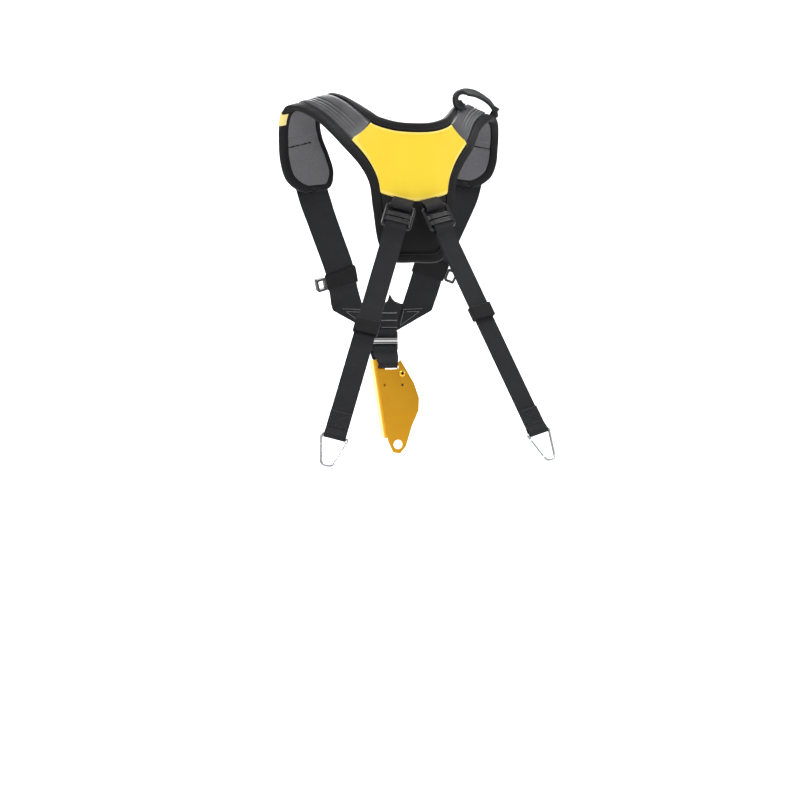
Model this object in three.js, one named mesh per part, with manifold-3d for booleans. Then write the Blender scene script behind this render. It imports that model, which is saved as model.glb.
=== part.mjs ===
// Climbing chest harness, worn: a padded yoke over both shoulders, two front straps that meet at
// the breastbone above a rope clamp, and two rear straps that end in wire links.
// Millimetres, +Z up. The wearer faces +Y and their left is -X.
// The origin is the middle of the line on which the two shoulders carry the yoke.
import * as THREE from 'three';
import Module from 'manifold-3d';

// Clearances
const gap = 0.3;
const wideGap = 0.5;

// Padded yoke
const shoulderHalf = 140;
const yokeReach = 100;
const yokeDrop = 190;
const padEdge = 4;
const padPuff = 3;
const shoulderTilt = 3.6;
const grooveDepth = 1.3;

// Folded edge tape
const tapeThickness = 1.2;
const tapeWidth = 10;
const tapeGap = 0.6;

// Lining of the front pads
const liningThickness = 1.2;
const creaseDepth = 0.7;

// Yellow back panel
const panelThickness = 2;

// Webbing
const webbing = 1.8;
const frontWidth = 40;
const rearWidth = 25;
const elastic = 1.4;

// Front straps
const frontTop = -30;
const frontFoot = -256;
const frontTurn = 18;
const frontMitre = 46;

// Junction, chest strap and slider
const chestWidth = 38;
const chestY = 0.93 * yokeReach;
const patchLap = 9;
const patchHeight = 33;
const patchPeak = 13;
const chestPatchFoot = frontFoot - patchLap;
const chestPatchTop = chestPatchFoot + patchHeight;
const sliderWidth = 37;
const sliderHeight = 26;
const sliderThickness = 2;
const sliderBar = 3;
const sliderMiddle = 8;
const sliderDrop = 16;
const sliderUp = chestPatchFoot - sliderDrop;
const sliderSetBack = 5;
const sliderCorner = 2.5;

// Rope clamp
const clampDrop = 25;
const clampTop = sliderUp - clampDrop;
const clampSetBack = 26;
const clampY = chestY - clampSetBack;
const clampHeight = 122;
const clampPlate = 3;
const clampReach = 41;
const slotHeight = 5;
const slotDrop = 9.5;
const slotWidth = 27.4;
const slotSide = 0.5;
const channelDepth = 25;
const channelWidth = 19;
const channelSide = -19.3;
const channelBend = 3.5;
const channelTilt = 8;
const camThickness = 9;
const rivetRadius = 3;
const catchThickness = 2.2;

// Rear buckles
const buckleWidth = 37;
const buckleHeight = 31;
const buckleThickness = 3;
const buckleBar = 4.2;

// Rear straps
const rearTopSide = 23.5;
const rearStandOff = 15;
const rearTopY = -(0.9 * yokeReach + rearStandOff);
const rearTopUp = -141;
const rearFootSide = 117.5;
const rearFootY = -188;
const rearFootUp = -391;
const rearTurn = 11;
const eyeReturn = 29;
const tailKeeperHeight = 17;

// Wire links
const linkWire = 3.5;
const gateWire = 2.6;
const linkWidth = 31;
const linkFoot = 12;
const linkHeight = 35;
const linkCorner = 3.5;
const cornerCut = 1.2;
const footCut = 0.6;
const footRise = 1;
const footRound = 2.6;
const gateEnd = 6;
const noseEnd = 5;
const gateJoint = 0.9;

// Gear loop
const loopRise = 20;
const loopBand = 14;
const loopThickness = 3.6;

const wasm = await Module();
wasm.setup();

const group = new THREE.Group();

const finishes = {
  fabric: { color: 0x17181b, roughness: 0.75, metalness: 0 },
  tape: { color: 0x0d0d0f, roughness: 0.6, metalness: 0 },
  mesh: { color: 0x5e5e63, roughness: 0.9, metalness: 0 },
  yellow: { color: 0xf5d130, roughness: 0.7, metalness: 0 },
  pale: { color: 0xf0e6a0, roughness: 0.7, metalness: 0 },
  webbing: { color: 0x202126, roughness: 0.7, metalness: 0 },
  plastic: { color: 0x2a2b2e, roughness: 0.45, metalness: 0 },
  steel: { color: 0xc9cbce, roughness: 0.3, metalness: 1 },
  blackSteel: { color: 0x1b1c1e, roughness: 0.35, metalness: 0.8 },
  gold: { color: 0xd89a20, roughness: 0.35, metalness: 0.9 },
};

function addPiece(name, geometry, finish) {
  const mesh = new THREE.Mesh(geometry, new THREE.MeshStandardMaterial(finishes[finish]));
  mesh.name = name;
  group.add(mesh);
  return mesh;
}

function vector(x, y, z) {
  return new THREE.Vector3(x, y, z);
}

function radians(degrees) {
  return THREE.MathUtils.degToRad(degrees);
}

// Signed volume of an indexed closed mesh, used to turn its faces outwards.
function signedVolume(positions, faces) {
  let sum = 0;
  for (let i = 0; i < faces.length; i += 3) {
    const [a, b, c] = [positions[faces[i]], positions[faces[i + 1]], positions[faces[i + 2]]];
    sum += a.dot(vector(0, 0, 0).crossVectors(b, c)) / 6;
  }
  return sum;
}

// Ears of a flat outline, each as three of its indices, with every point of the outline in use
function capTriangles(outline) {
  const mirror = THREE.ShapeUtils.isClockWise(outline) ? -1 : 1;
  const points = outline.map((point) => new THREE.Vector2(mirror * point.x, point.y));
  const turn = (a, b, c) => (b.x - a.x) * (c.y - a.y) - (b.y - a.y) * (c.x - a.x);
  const left = points.map((_, index) => index);
  const triangles = [];
  while (left.length > 3) {
    let best = { area: 0, at: -1 };
    left.forEach((middle, at) => {
      const before = left[(at + left.length - 1) % left.length];
      const after = left[(at + 1) % left.length];
      const [a, b, c] = [points[before], points[middle], points[after]];
      const area = turn(a, b, c);
      const blocked = left.some((other) => {
        const point = points[other];
        const apart = other !== before && other !== middle && other !== after;
        return apart && turn(a, b, point) >= 0 && turn(b, c, point) >= 0 && turn(c, a, point) >= 0;
      });
      if (!blocked && area > best.area) {
        best = { area, at, ear: [before, middle, after] };
      }
    });
    triangles.push(best.ear);
    left.splice(best.at, 1);
  }
  triangles.push(left);
  return triangles;
}

// A closed body through equal rings of points. The flat section is the rings' outline, for its caps.
// Without a section the last ring joins the first.
function loft(rings, firstSection, lastSection = firstSection) {
  const count = rings[0].length;
  const positions = rings.flat();
  const faces = [];
  const spans = firstSection ? rings.length - 1 : rings.length;
  for (let i = 0; i < spans; i++) {
    for (let j = 0; j < count; j++) {
      const next = ((i + 1) % rings.length) * count;
      const other = (j + 1) % count;
      const [a, b, c, d] = [i * count + j, i * count + other, next + j, next + other];
      faces.push(a, b, c, b, d, c);
    }
  }
  const last = (rings.length - 1) * count;
  for (const [a, b, c] of firstSection ? capTriangles(firstSection) : []) {
    faces.push(a, c, b);
  }
  for (const [a, b, c] of lastSection ? capTriangles(lastSection) : []) {
    faces.push(last + a, last + b, last + c);
  }
  if (signedVolume(positions, faces) < 0) {
    faces.reverse();
  }
  const geometry = new THREE.BufferGeometry();
  geometry.setFromPoints(positions);
  geometry.setIndex(faces);
  geometry.computeVertexNormals();
  return geometry;
}

// Manifold solids for joins: equal points become one, and triangles without area are left out.
function toSolid(geometry) {
  const source = geometry.index ? geometry.toNonIndexed() : geometry;
  const points = source.getAttribute('position');
  const keys = new Map();
  const places = [];
  const triangles = [];
  for (let i = 0; i < points.count; i += 3) {
    const corners = [i, i + 1, i + 2].map((index) => {
      const point = vector(0, 0, 0).fromBufferAttribute(points, index);
      const key = point.toArray().map((value) => Math.round(value * 1e3)).join();
      if (!keys.has(key)) {
        keys.set(key, keys.size);
        places.push(...point.toArray());
      }
      return keys.get(key);
    });
    if (new Set(corners).size === 3) {
      triangles.push(...corners);
    }
  }
  const mesh = new wasm.Mesh({
    numProp: 3,
    vertProperties: Float32Array.from(places),
    triVerts: Uint32Array.from(triangles),
  });
  return new wasm.Manifold(mesh);
}

function fromSolid(solid) {
  const mesh = solid.getMesh();
  const geometry = new THREE.BufferGeometry();
  geometry.setAttribute('position', new THREE.BufferAttribute(Float32Array.from(mesh.vertProperties), 3));
  geometry.setIndex(Array.from(mesh.triVerts));
  geometry.computeVertexNormals();
  return geometry;
}

function join(geometries) {
  const [first, ...rest] = geometries.map(toSolid);
  return fromSolid(rest.reduce((solid, other) => solid.add(other), first));
}

// A rounded rectangle as a path or a shape, centred at (x, y)
function roundedBox(path, x, y, width, height, radius) {
  const [left, right, low, high] = [x - width / 2, x + width / 2, y - height / 2, y + height / 2];
  path.moveTo(left + radius, low);
  path.lineTo(right - radius, low);
  path.absarc(right - radius, low + radius, radius, -Math.PI / 2, 0, false);
  path.lineTo(right, high - radius);
  path.absarc(right - radius, high - radius, radius, 0, Math.PI / 2, false);
  path.lineTo(left + radius, high);
  path.absarc(left + radius, high - radius, radius, Math.PI / 2, Math.PI, false);
  path.lineTo(left, low + radius);
  path.absarc(left + radius, low + radius, radius, Math.PI, Math.PI * 1.5, false);
  return path;
}

function extrude(shape, depth, curveSegments = 4) {
  return new THREE.ExtrudeGeometry(shape, { depth, bevelEnabled: false, curveSegments });
}

// An upright plate: the shape's y becomes z, and it fills y to y + depth.
function uprightPlate(shape, y, depth, curveSegments = 4) {
  return extrude(shape, depth, curveSegments).rotateX(Math.PI / 2).translate(0, y + depth, 0);
}

// A matrix whose x, y and z axes are across, along and normal
function placement(place) {
  const basis = new THREE.Matrix4().makeBasis(place.across, place.along, place.normal);
  return basis.setPosition(place.point);
}

// Sections of webbing: a flat band with chamfered corners, wide along x and thick along y
function bandSection(width, thickness) {
  const [x, y] = [width / 2, thickness / 2];
  const chamfer = Math.min(0.5, thickness * 0.3);
  const corners = [
    [-x + chamfer, -y], [x - chamfer, -y], [x, -y + chamfer], [x, y - chamfer],
    [x - chamfer, y], [-x + chamfer, y], [-x, y - chamfer], [-x, -y + chamfer],
  ];
  return corners.map(([a, b]) => new THREE.Vector2(a, b));
}

// Webbing through stations of point, across, normal, width and thickness
function band(stations) {
  const rings = stations.map((station) => {
    const section = bandSection(station.width, station.thickness);
    return section.map((corner) => station.point.clone()
      .addScaledVector(station.across, corner.x)
      .addScaledVector(station.normal, corner.y));
  });
  const [first, last] = [stations[0], stations[stations.length - 1]];
  return loft(rings, bandSection(first.width, first.thickness), bandSection(last.width, last.thickness));
}

// A band round a strap, through stations of the strap: its inside clears the strap by wideGap.
function sleeve(stations, wall) {
  const corners = (station, grow) => {
    const section = bandSection(station.width + 2 * grow, station.thickness + 2 * grow);
    return section.map((corner) => station.point.clone().addScaledVector(station.across, corner.x)
      .addScaledVector(station.normal, corner.y));
  };
  const outer = stations.map((station) => corners(station, wideGap + wall));
  const inner = stations.map((station) => corners(station, wideGap)).reverse();
  return loft(outer[0].map((_, j) => [...outer, ...inner].map((ring) => ring[j])));
}

// Padded yoke
// A row is one line across the yoke, from its neck edge to its outer edge. Row 0 is the spine and
// the last row the end of a front pad. Side, fore and up are shares of shoulderHalf, yokeReach and
// yokeDrop. Puff, groove, neckTape, edgeTape and tilt are shares of padPuff, grooveDepth,
// tapeWidth and shoulderTilt.
const yokeRows = [
  { neckSide: 0.000, neckFore: -0.910, neckUp: -0.153, edgeSide: 0.000, edgeFore: -0.900, edgeUp: -0.997,
    puff: 0.4, groove: 0, neckTape: 0.9, edgeTape: 1.05, tilt: 0 },
  { neckSide: 0.100, neckFore: -0.900, neckUp: -0.150, edgeSide: 0.221, edgeFore: -0.880, edgeUp: -0.984,
    puff: 0.4, groove: 0, neckTape: 0.9, edgeTape: 1.05, tilt: 0 },
  { neckSide: 0.164, neckFore: -0.880, neckUp: -0.142, edgeSide: 0.300, edgeFore: -0.845, edgeUp: -0.889,
    puff: 0.4, groove: 0, neckTape: 0.9, edgeTape: 1.05, tilt: 0 },
  { neckSide: 0.221, neckFore: -0.850, neckUp: -0.129, edgeSide: 0.346, edgeFore: -0.820, edgeUp: -0.658,
    puff: 0.4, groove: 0, neckTape: 0.9, edgeTape: 1.05, tilt: 0 },
  { neckSide: 0.261, neckFore: -0.815, neckUp: -0.116, edgeSide: 0.371, edgeFore: -0.795, edgeUp: -0.500,
    puff: 0.4, groove: 0, neckTape: 0.9, edgeTape: 1.05, tilt: 0 },
  { neckSide: 0.293, neckFore: -0.775, neckUp: -0.103, edgeSide: 0.436, edgeFore: -0.740, edgeUp: -0.392,
    puff: 0.4, groove: 0, neckTape: 0.9, edgeTape: 1.05, tilt: 0 },
  { neckSide: 0.339, neckFore: -0.685, neckUp: -0.071, edgeSide: 0.556, edgeFore: -0.600, edgeUp: -0.268,
    puff: 0.6, groove: 0, neckTape: 0.8, edgeTape: 1.05, tilt: 0.2 },
  { neckSide: 0.455, neckFore: -0.380, neckUp: 0.018, edgeSide: 0.700, edgeFore: -0.250, edgeUp: -0.108,
    puff: 1, groove: 1, neckTape: 0.45, edgeTape: 1, tilt: 0.6 },
  { neckSide: 0.532, neckFore: -0.195, neckUp: 0.063, edgeSide: 0.800, edgeFore: -0.060, edgeUp: -0.037,
    puff: 1, groove: 1, neckTape: 0.4, edgeTape: 0.95, tilt: 0.9 },
  { neckSide: 0.595, neckFore: -0.040, neckUp: 0.079, edgeSide: 0.900, edgeFore: 0.090, edgeUp: 0.005,
    puff: 1, groove: 1, neckTape: 0.4, edgeTape: 0.9, tilt: 1 },
  { neckSide: 0.643, neckFore: 0.120, neckUp: 0.053, edgeSide: 0.971, edgeFore: 0.220, edgeUp: 0.003,
    puff: 1, groove: 1, neckTape: 0.35, edgeTape: 0.9, tilt: 1 },
  { neckSide: 0.671, neckFore: 0.270, neckUp: -0.032, edgeSide: 1.000, edgeFore: 0.330, edgeUp: -0.074,
    puff: 0.9, groove: 0.5, neckTape: 0.32, edgeTape: 0.9, tilt: 0.5 },
  { neckSide: 0.643, neckFore: 0.350, neckUp: -0.137, edgeSide: 1.001, edgeFore: 0.380, edgeUp: -0.184,
    puff: 0.8, groove: 0, neckTape: 0.3, edgeTape: 0.9, tilt: 0 },
  { neckSide: 0.575, neckFore: 0.380, neckUp: -0.253, edgeSide: 0.988, edgeFore: 0.390, edgeUp: -0.295,
    puff: 0.8, groove: 0, neckTape: 0.3, edgeTape: 0.9, tilt: -0.6 },
  { neckSide: 0.538, neckFore: 0.395, neckUp: -0.347, edgeSide: 0.939, edgeFore: 0.398, edgeUp: -0.395,
    puff: 0.8, groove: 0, neckTape: 0.32, edgeTape: 0.9, tilt: -1.2 },
  { neckSide: 0.571, neckFore: 0.400, neckUp: -0.437, edgeSide: 0.846, edgeFore: 0.400, edgeUp: -0.455,
    puff: 0.5, groove: 0, neckTape: 0.6, edgeTape: 0.9, tilt: -1.4 },
  { neckSide: 0.728, neckFore: 0.400, neckUp: -0.476, edgeSide: 0.772, edgeFore: 0.400, edgeUp: -0.476,
    puff: 0, groove: 0, neckTape: 0.6, edgeTape: 0.6, tilt: -1.4 },
];
const lastRow = yokeRows.length - 1;
const rowStep = 0.5;
const tipRow = lastRow - 1;

// The value of one column at a place between rows
function yokeValue(column, row) {
  const place = Math.min(Math.abs(row), lastRow);
  const low = Math.min(Math.floor(place), lastRow - 1);
  return THREE.MathUtils.lerp(yokeRows[low][column], yokeRows[low + 1][column], place - low);
}

function yokeRowPoint(edge, index) {
  const row = yokeRows[Math.abs(index)];
  const hand = Math.sign(index);
  return vector(
    hand * row[`${edge}Side`] * shoulderHalf,
    row[`${edge}Fore`] * yokeReach,
    row[`${edge}Up`] * yokeDrop - hand * row.tilt * shoulderTilt,
  );
}

function yokeCurve(edge) {
  const points = [];
  for (let index = -lastRow; index <= lastRow; index++) {
    points.push(yokeRowPoint(edge, index));
  }
  return new THREE.CatmullRomCurve3(points);
}

const neckCurve = yokeCurve('neck');
const edgeCurve = yokeCurve('edge');

// Rows below zero are on the wearer's left. A share of 0 is the neck edge, 1 the outer edge.
function yokeMiddle(row, share) {
  const along = THREE.MathUtils.clamp((row + lastRow) / (2 * lastRow), 0, 1);
  return neckCurve.getPoint(along).lerp(edgeCurve.getPoint(along), share);
}

function yokeNormal(row, share) {
  const steady = THREE.MathUtils.clamp(share, 0.2, 0.8);
  const reach = 0.05;
  const before = yokeMiddle(Math.max(row - reach, -lastRow), steady);
  const after = yokeMiddle(Math.min(row + reach, lastRow), steady);
  const across = yokeMiddle(row, 1).sub(yokeMiddle(row, 0));
  return across.cross(after.sub(before)).normalize();
}

function yokeWidth(row) {
  return yokeMiddle(row, 0).distanceTo(yokeMiddle(row, 1));
}

// A point at a distance from the neck edge along a row, and at a height over the middle layer
function yokePoint(row, distance, height) {
  const share = distance / yokeWidth(row);
  return yokeMiddle(row, share).addScaledVector(yokeNormal(row, share), height);
}

// The length along a row that a tape of even width covers, wider where the row meets its edge at a slant
function tapeCover(edge, row) {
  const reach = 0.05;
  const share = edge === 'neck' ? 0 : 1;
  const before = yokeMiddle(Math.max(row - reach, -lastRow), share);
  const after = yokeMiddle(Math.min(row + reach, lastRow), share);
  const across = yokeMiddle(row, 1).sub(yokeMiddle(row, 0));
  const slant = Math.sin(across.angleTo(after.sub(before)));
  const wanted = tapeWidth * yokeValue(`${edge}Tape`, row) / Math.max(slant, 0.28);
  return Math.min(wanted, yokeWidth(row) * 0.42);
}

// Raised field of the pad between the two tapes, with grooves that run along the shoulder
const fieldRows = [
  { share: 0.00, rise: 0.0, groove: 0 },
  { share: 0.10, rise: 0.9, groove: 0 },
  { share: 0.42, rise: 1.0, groove: 0 },
  { share: 0.46, rise: 1.0, groove: 1 },
  { share: 0.50, rise: 1.0, groove: 0 },
  { share: 0.61, rise: 1.0, groove: 0 },
  { share: 0.65, rise: 1.0, groove: 1 },
  { share: 0.69, rise: 1.0, groove: 0 },
  { share: 0.90, rise: 0.9, groove: 0 },
  { share: 1.00, rise: 0.0, groove: 0 },
];

function yokeStations(from, to) {
  const count = Math.round((to - from) / rowStep);
  return Array.from({ length: count + 1 }, (_, i) => THREE.MathUtils.lerp(from, to, i / count));
}

function fieldHeight(entry, row) {
  const rise = entry.rise * padPuff * yokeValue('puff', row);
  return padEdge / 2 + rise - entry.groove * grooveDepth * yokeValue('groove', row);
}

const padCorner = 0.7;

// Distance and height of each corner of the pad's section in a row
function padOutline(row) {
  const width = yokeWidth(row);
  const start = tapeCover('neck', row);
  const field = width - tapeCover('edge', row) - start;
  const half = padEdge / 2;
  const corner = Math.min(padCorner, width * 0.1);
  const outline = [[0, -half * 0.4], [0, half * 0.4], [corner, half]];
  for (const entry of fieldRows) {
    outline.push([start + field * entry.share, fieldHeight(entry, row)]);
  }
  outline.push([width - corner, half], [width, half * 0.4], [width, -half * 0.4]);
  outline.push([width - corner, -half], [start + field, -half], [start, -half], [corner, -half]);
  return outline;
}

// A body whose section in each row is an outline of distances and heights
function yokeLayer(rows, outlineOf) {
  const rings = rows.map((row) => outlineOf(row).map(([distance, height]) => yokePoint(row, distance, height)));
  const flat = (row) => outlineOf(row).map(([distance, height]) => new THREE.Vector2(distance, height));
  return loft(rings, flat(rows[0]), flat(rows[rows.length - 1]));
}

const padEnd = lastRow - rowStep;
addPiece('yoke_pad', yokeLayer(yokeStations(-padEnd, padEnd), padOutline), 'fabric');

// Edge tapes: a folded band that grips the pad's edge from both sides
function tapeOutline(edge, row) {
  const width = yokeWidth(row);
  const inside = padEdge / 2 + tapeGap;
  const outside = inside + tapeThickness;
  const leg = tapeCover(edge, row) - 2 * wideGap;
  const fold = 2 * tapeGap;
  const outline = [
    [leg, outside], [0, outside], [-fold - tapeThickness, 0], [0, -outside], [leg, -outside],
    [leg, -inside], [0, -inside], [-fold, 0], [0, inside], [leg, inside],
  ];
  return edge === 'neck' ? outline : outline.map(([distance, height]) => [width - distance, height]);
}

for (const edge of ['neck', 'edge']) {
  const name = edge === 'neck' ? 'neck_binding' : 'outer_binding';
  addPiece(name, yokeLayer(yokeStations(-lastRow, lastRow), (row) => tapeOutline(edge, row)), 'tape');
}

// Lining on the inside of each front pad, with one sunk crease
const liningStart = 8;
const creaseRow = 12;

function liningOutline(row) {
  const start = tapeCover('neck', row) + wideGap;
  const end = yokeWidth(row) - tapeCover('edge', row) - wideGap;
  const upper = -padEdge / 2 - tapeGap;
  const creased = Math.abs(Math.abs(row) - creaseRow) < rowStep / 2;
  const shares = [0, 0.25, 0.5, 0.75, 1];
  const lower = shares.map((share) => {
    const sunk = creased && share > 0.2 ? creaseDepth : 0;
    return [THREE.MathUtils.lerp(start, end, share), upper - liningThickness + sunk];
  });
  return [[end, upper], [start, upper], ...lower];
}

for (const [side, hand] of [['left', -1], ['right', 1]]) {
  const rows = hand < 0 ? yokeStations(-tipRow, -liningStart) : yokeStations(liningStart, tipRow);
  addPiece(`lining_${side}`, yokeLayer(rows, liningOutline), 'mesh');
}

// Yellow back panel
// Top and foot are shares of the way between the two tapes at a row of the yoke.
const panelRows = [
  { row: 0.0, top: 0.00, foot: 0.580 },
  { row: 0.5, top: 0.00, foot: 0.565 },
  { row: 1.0, top: 0.00, foot: 0.552 },
  { row: 1.5, top: 0.00, foot: 0.590 },
  { row: 2.0, top: 0.00, foot: 0.700 },
  { row: 2.5, top: 0.00, foot: 0.970 },
  { row: 3.0, top: 0.00, foot: 1.000 },
  { row: 5.5, top: 0.00, foot: 1.000 },
  { row: 6.0, top: 0.86, foot: 1.000 },
];

function panelValue(column, row) {
  const place = Math.abs(row);
  const index = Math.max(panelRows.findIndex((entry) => entry.row >= place - 1e-6), 1);
  const [low, high] = [panelRows[index - 1], panelRows[index]];
  return THREE.MathUtils.lerp(low[column], high[column], (place - low.row) / (high.row - low.row));
}

const panelSteps = 4;

function panelOutline(row) {
  const start = tapeCover('neck', row) + gap;
  const end = yokeWidth(row) - tapeCover('edge', row) - gap;
  const top = THREE.MathUtils.lerp(start, end, panelValue('top', row));
  const foot = THREE.MathUtils.lerp(start, end, panelValue('foot', row));
  const height = padEdge / 2 + padPuff * yokeValue('puff', row) + wideGap;
  const distances = Array.from({ length: panelSteps + 1 }, (_, i) => (
    THREE.MathUtils.lerp(top, foot, i / panelSteps)));
  const inner = distances.map((distance) => [distance, height]);
  const outer = distances.map((distance) => [distance, height + panelThickness]).reverse();
  return [...inner, ...outer];
}
const panelEnd = panelRows[panelRows.length - 1].row;
addPiece('back_panel', yokeLayer(yokeStations(-panelEnd, panelEnd), panelOutline), 'yellow');

// Pale tab folded round the outer tape of the left shoulder
const tabFrom = 10.25;
const tabTo = 11;
const tabLeg = 6;
const tabThickness = 1;

function tabOutline(row) {
  const width = yokeWidth(row);
  const inside = padEdge / 2 + tapeGap + tapeThickness + wideGap;
  const outside = inside + tabThickness;
  const fold = 2 * tapeGap + tapeThickness + wideGap;
  return [
    [tabLeg, outside], [0, outside], [-fold - tabThickness, 0], [0, -outside], [tabLeg, -outside],
    [tabLeg, -inside], [0, -inside], [-fold, 0], [0, inside], [tabLeg, inside],
  ].map(([distance, height]) => [width - distance, height]);
}
addPiece('edge_tab', yokeLayer([-tabTo, rowStep - tabTo, -tabFrom], tabOutline), 'pale');

// Gear loop: flat webbing that arches over the right shoulder from loopFrom, a row behind, to loopTo,
// a row in front. Both feet are sewn to the pad. Share runs across the shoulder and lift is a share
// of loopRise.
const loopFrom = 6.9;
const loopTo = 9.9;
const loopRows = [
  { share: 0.15, lift: 0.10 },
  { share: 0.03, lift: 0.06 },
  { share: -0.05, lift: 0.32 },
  { share: 0.01, lift: 0.68 },
  { share: 0.23, lift: 1.00 },
  { share: 0.51, lift: 1.01 },
  { share: 0.80, lift: 0.64 },
  { share: 1.01, lift: 0.28 },
  { share: 0.89, lift: 0.17 },
];
const loopSeat = padEdge / 2 + padPuff + gap + loopThickness / 2;
const loopSteps = 18;
const loopCurve = new THREE.CatmullRomCurve3(loopRows.map((entry) => {
  const row = THREE.MathUtils.lerp(loopFrom, loopTo, entry.share);
  return yokePoint(row, entry.share * yokeWidth(row), loopSeat).add(vector(0, 0, entry.lift * loopRise));
}));
const loopStations = loopCurve.getPoints(loopSteps).map((point, i) => {
  const row = THREE.MathUtils.lerp(loopFrom, loopTo, i / loopSteps);
  const tangent = loopCurve.getTangent(i / loopSteps);
  const across = yokeMiddle(row + 0.5, 0.5).sub(yokeMiddle(row - 0.5, 0.5));
  across.addScaledVector(tangent, -across.dot(tangent)).normalize();
  const normal = vector(0, 0, 0).crossVectors(across, tangent).normalize();
  return { point, across, normal, width: loopBand, thickness: loopThickness };
});
addPiece('gear_loop', band(loopStations), 'webbing');

// Front straps
// Down is the share of the way from frontTop to frontFoot, side a share of shoulderHalf, fore a share
// of yokeReach and turn a share of frontTurn.
const frontRows = [
  { down: 0.000, side: 0.800, fore: 0.455, turn: 0.0 },
  { down: 0.136, side: 0.760, fore: 0.459, turn: 0.0 },
  { down: 0.281, side: 0.705, fore: 0.476, turn: 0.3 },
  { down: 0.407, side: 0.625, fore: 0.570, turn: 0.8 },
  { down: 0.533, side: 0.540, fore: 0.660, turn: 0.8 },
  { down: 0.698, side: 0.430, fore: 0.775, turn: 0.8 },
  { down: 0.824, side: 0.376, fore: 0.875, turn: 0.8 },
  { down: 0.911, side: 0.334, fore: 0.924, turn: 0.2 },
  { down: 1.000, side: 0.282, fore: 0.930, turn: 0.0 },
];

// Place on a strap: point, tangent as along, and the directions across and out of its face
function placeOn(curve, turnAt, share) {
  const along = curve.getTangent(share);
  const turn = radians(turnAt(share));
  const across = vector(Math.cos(turn), -Math.sin(turn), 0);
  across.addScaledVector(along, -across.dot(along)).normalize();
  const normal = vector(0, 0, 0).crossVectors(across, along);
  return { point: curve.getPoint(share), across, along, normal };
}

function rowsAt(rows, column, share) {
  const place = share * (rows.length - 1);
  const low = Math.min(Math.floor(place), rows.length - 2);
  return THREE.MathUtils.lerp(rows[low][column], rows[low + 1][column], place - low);
}

function frontStrap(hand) {
  const curve = new THREE.CatmullRomCurve3(frontRows.map((entry) => vector(
    hand * entry.side * shoulderHalf,
    entry.fore * yokeReach,
    THREE.MathUtils.lerp(frontTop, frontFoot, entry.down),
  )));
  const turnAt = (share) => hand * frontTurn * rowsAt(frontRows, 'turn', share);
  return (share) => placeOn(curve, turnAt, share);
}

const frontSteps = 16;
const keeperShares = { left: 0.675, right: 0.62 };
const keeperReach = 0.042;

const clipWidth = 14;
const clipHeight = 17;
const clipDepth = 7;
const clipWall = 3;
const clipCorner = 2.5;
const clipInnerCorner = 1;

for (const [side, hand] of [['left', -1], ['right', 1]]) {
  const placeAt = frontStrap(hand);
  const stations = Array.from({ length: frontSteps + 1 }, (_, i) => {
    const place = placeAt(i / frontSteps);
    return { ...place, width: frontWidth, thickness: webbing };
  });
  const geometry = band(stations);
  // The foot is folded to a mitre, longest at the breastbone.
  const foot = stations[frontSteps];
  const points = geometry.getAttribute('position');
  for (let i = points.count - 8; i < points.count; i++) {
    const corner = vector(0, 0, 0).fromBufferAttribute(points, i);
    const offset = -hand * corner.clone().sub(foot.point).dot(foot.across) / (frontWidth / 2);
    corner.addScaledVector(foot.along, offset * frontMitre / 2);
    points.setXYZ(i, corner.x, corner.y, corner.z);
  }
  addPiece(`front_strap_${side}`, geometry, 'webbing');

  const place = placeAt(keeperShares[side]);
  const keeperStations = [-keeperReach, 0, keeperReach].map((shift) => (
    { ...placeAt(keeperShares[side] + shift), width: frontWidth, thickness: webbing }));
  addPiece(`strap_keeper_${side}`, sleeve(keeperStations, elastic), 'webbing');

  const clip = roundedBox(new THREE.Shape(), 0, 0, clipWidth, clipHeight, clipCorner);
  const [eyeWide, eyeTall] = [clipWidth - 2 * clipWall, clipHeight - 2 * clipWall];
  clip.holes.push(roundedBox(new THREE.Path(), 0, 0, eyeWide, eyeTall, clipInnerCorner));
  const reach = frontWidth / 2 + wideGap + elastic + gap + clipWidth / 2;
  const seat = { ...place, point: place.point.clone().addScaledVector(place.across, hand * reach) };
  const holder = extrude(clip, clipDepth, 2).translate(0, 0, -clipDepth / 2).applyMatrix4(placement(seat));
  addPiece(`clip_holder_${side}`, holder, 'plastic');
}

// Webbing in the upright plane of the breastbone: rows of y, z and width
function uprightBand(rows, steps, thickness) {
  const curve = new THREE.CatmullRomCurve3(rows.map((entry) => vector(0, entry.y, entry.z)));
  const across = vector(1, 0, 0);
  const stations = Array.from({ length: steps + 1 }, (_, i) => {
    const share = i / steps;
    const normal = vector(0, 0, 0).crossVectors(across, curve.getTangent(share)).normalize();
    return { point: curve.getPoint(share), across, normal, width: rowsAt(rows, 'width', share), thickness };
  });
  return band(stations);
}

// Junction patch on the body side of the strap ends, with a point folded at its top
const patchInner = chestY - webbing / 2 - wideGap - webbing;
const patchShape = new THREE.Shape();
patchShape.moveTo(-chestWidth / 2, chestPatchFoot);
patchShape.lineTo(chestWidth / 2, chestPatchFoot);
patchShape.lineTo(chestWidth / 2, chestPatchTop);
patchShape.lineTo(chestWidth * 0.41, chestPatchTop);
patchShape.lineTo(chestWidth * 0.24, chestPatchTop + patchPeak);
patchShape.lineTo(chestWidth * 0.12, chestPatchTop);
patchShape.lineTo(-chestWidth / 2, chestPatchTop);
patchShape.closePath();
addPiece('chest_yoke', uprightPlate(patchShape, patchInner, webbing), 'webbing');

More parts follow.
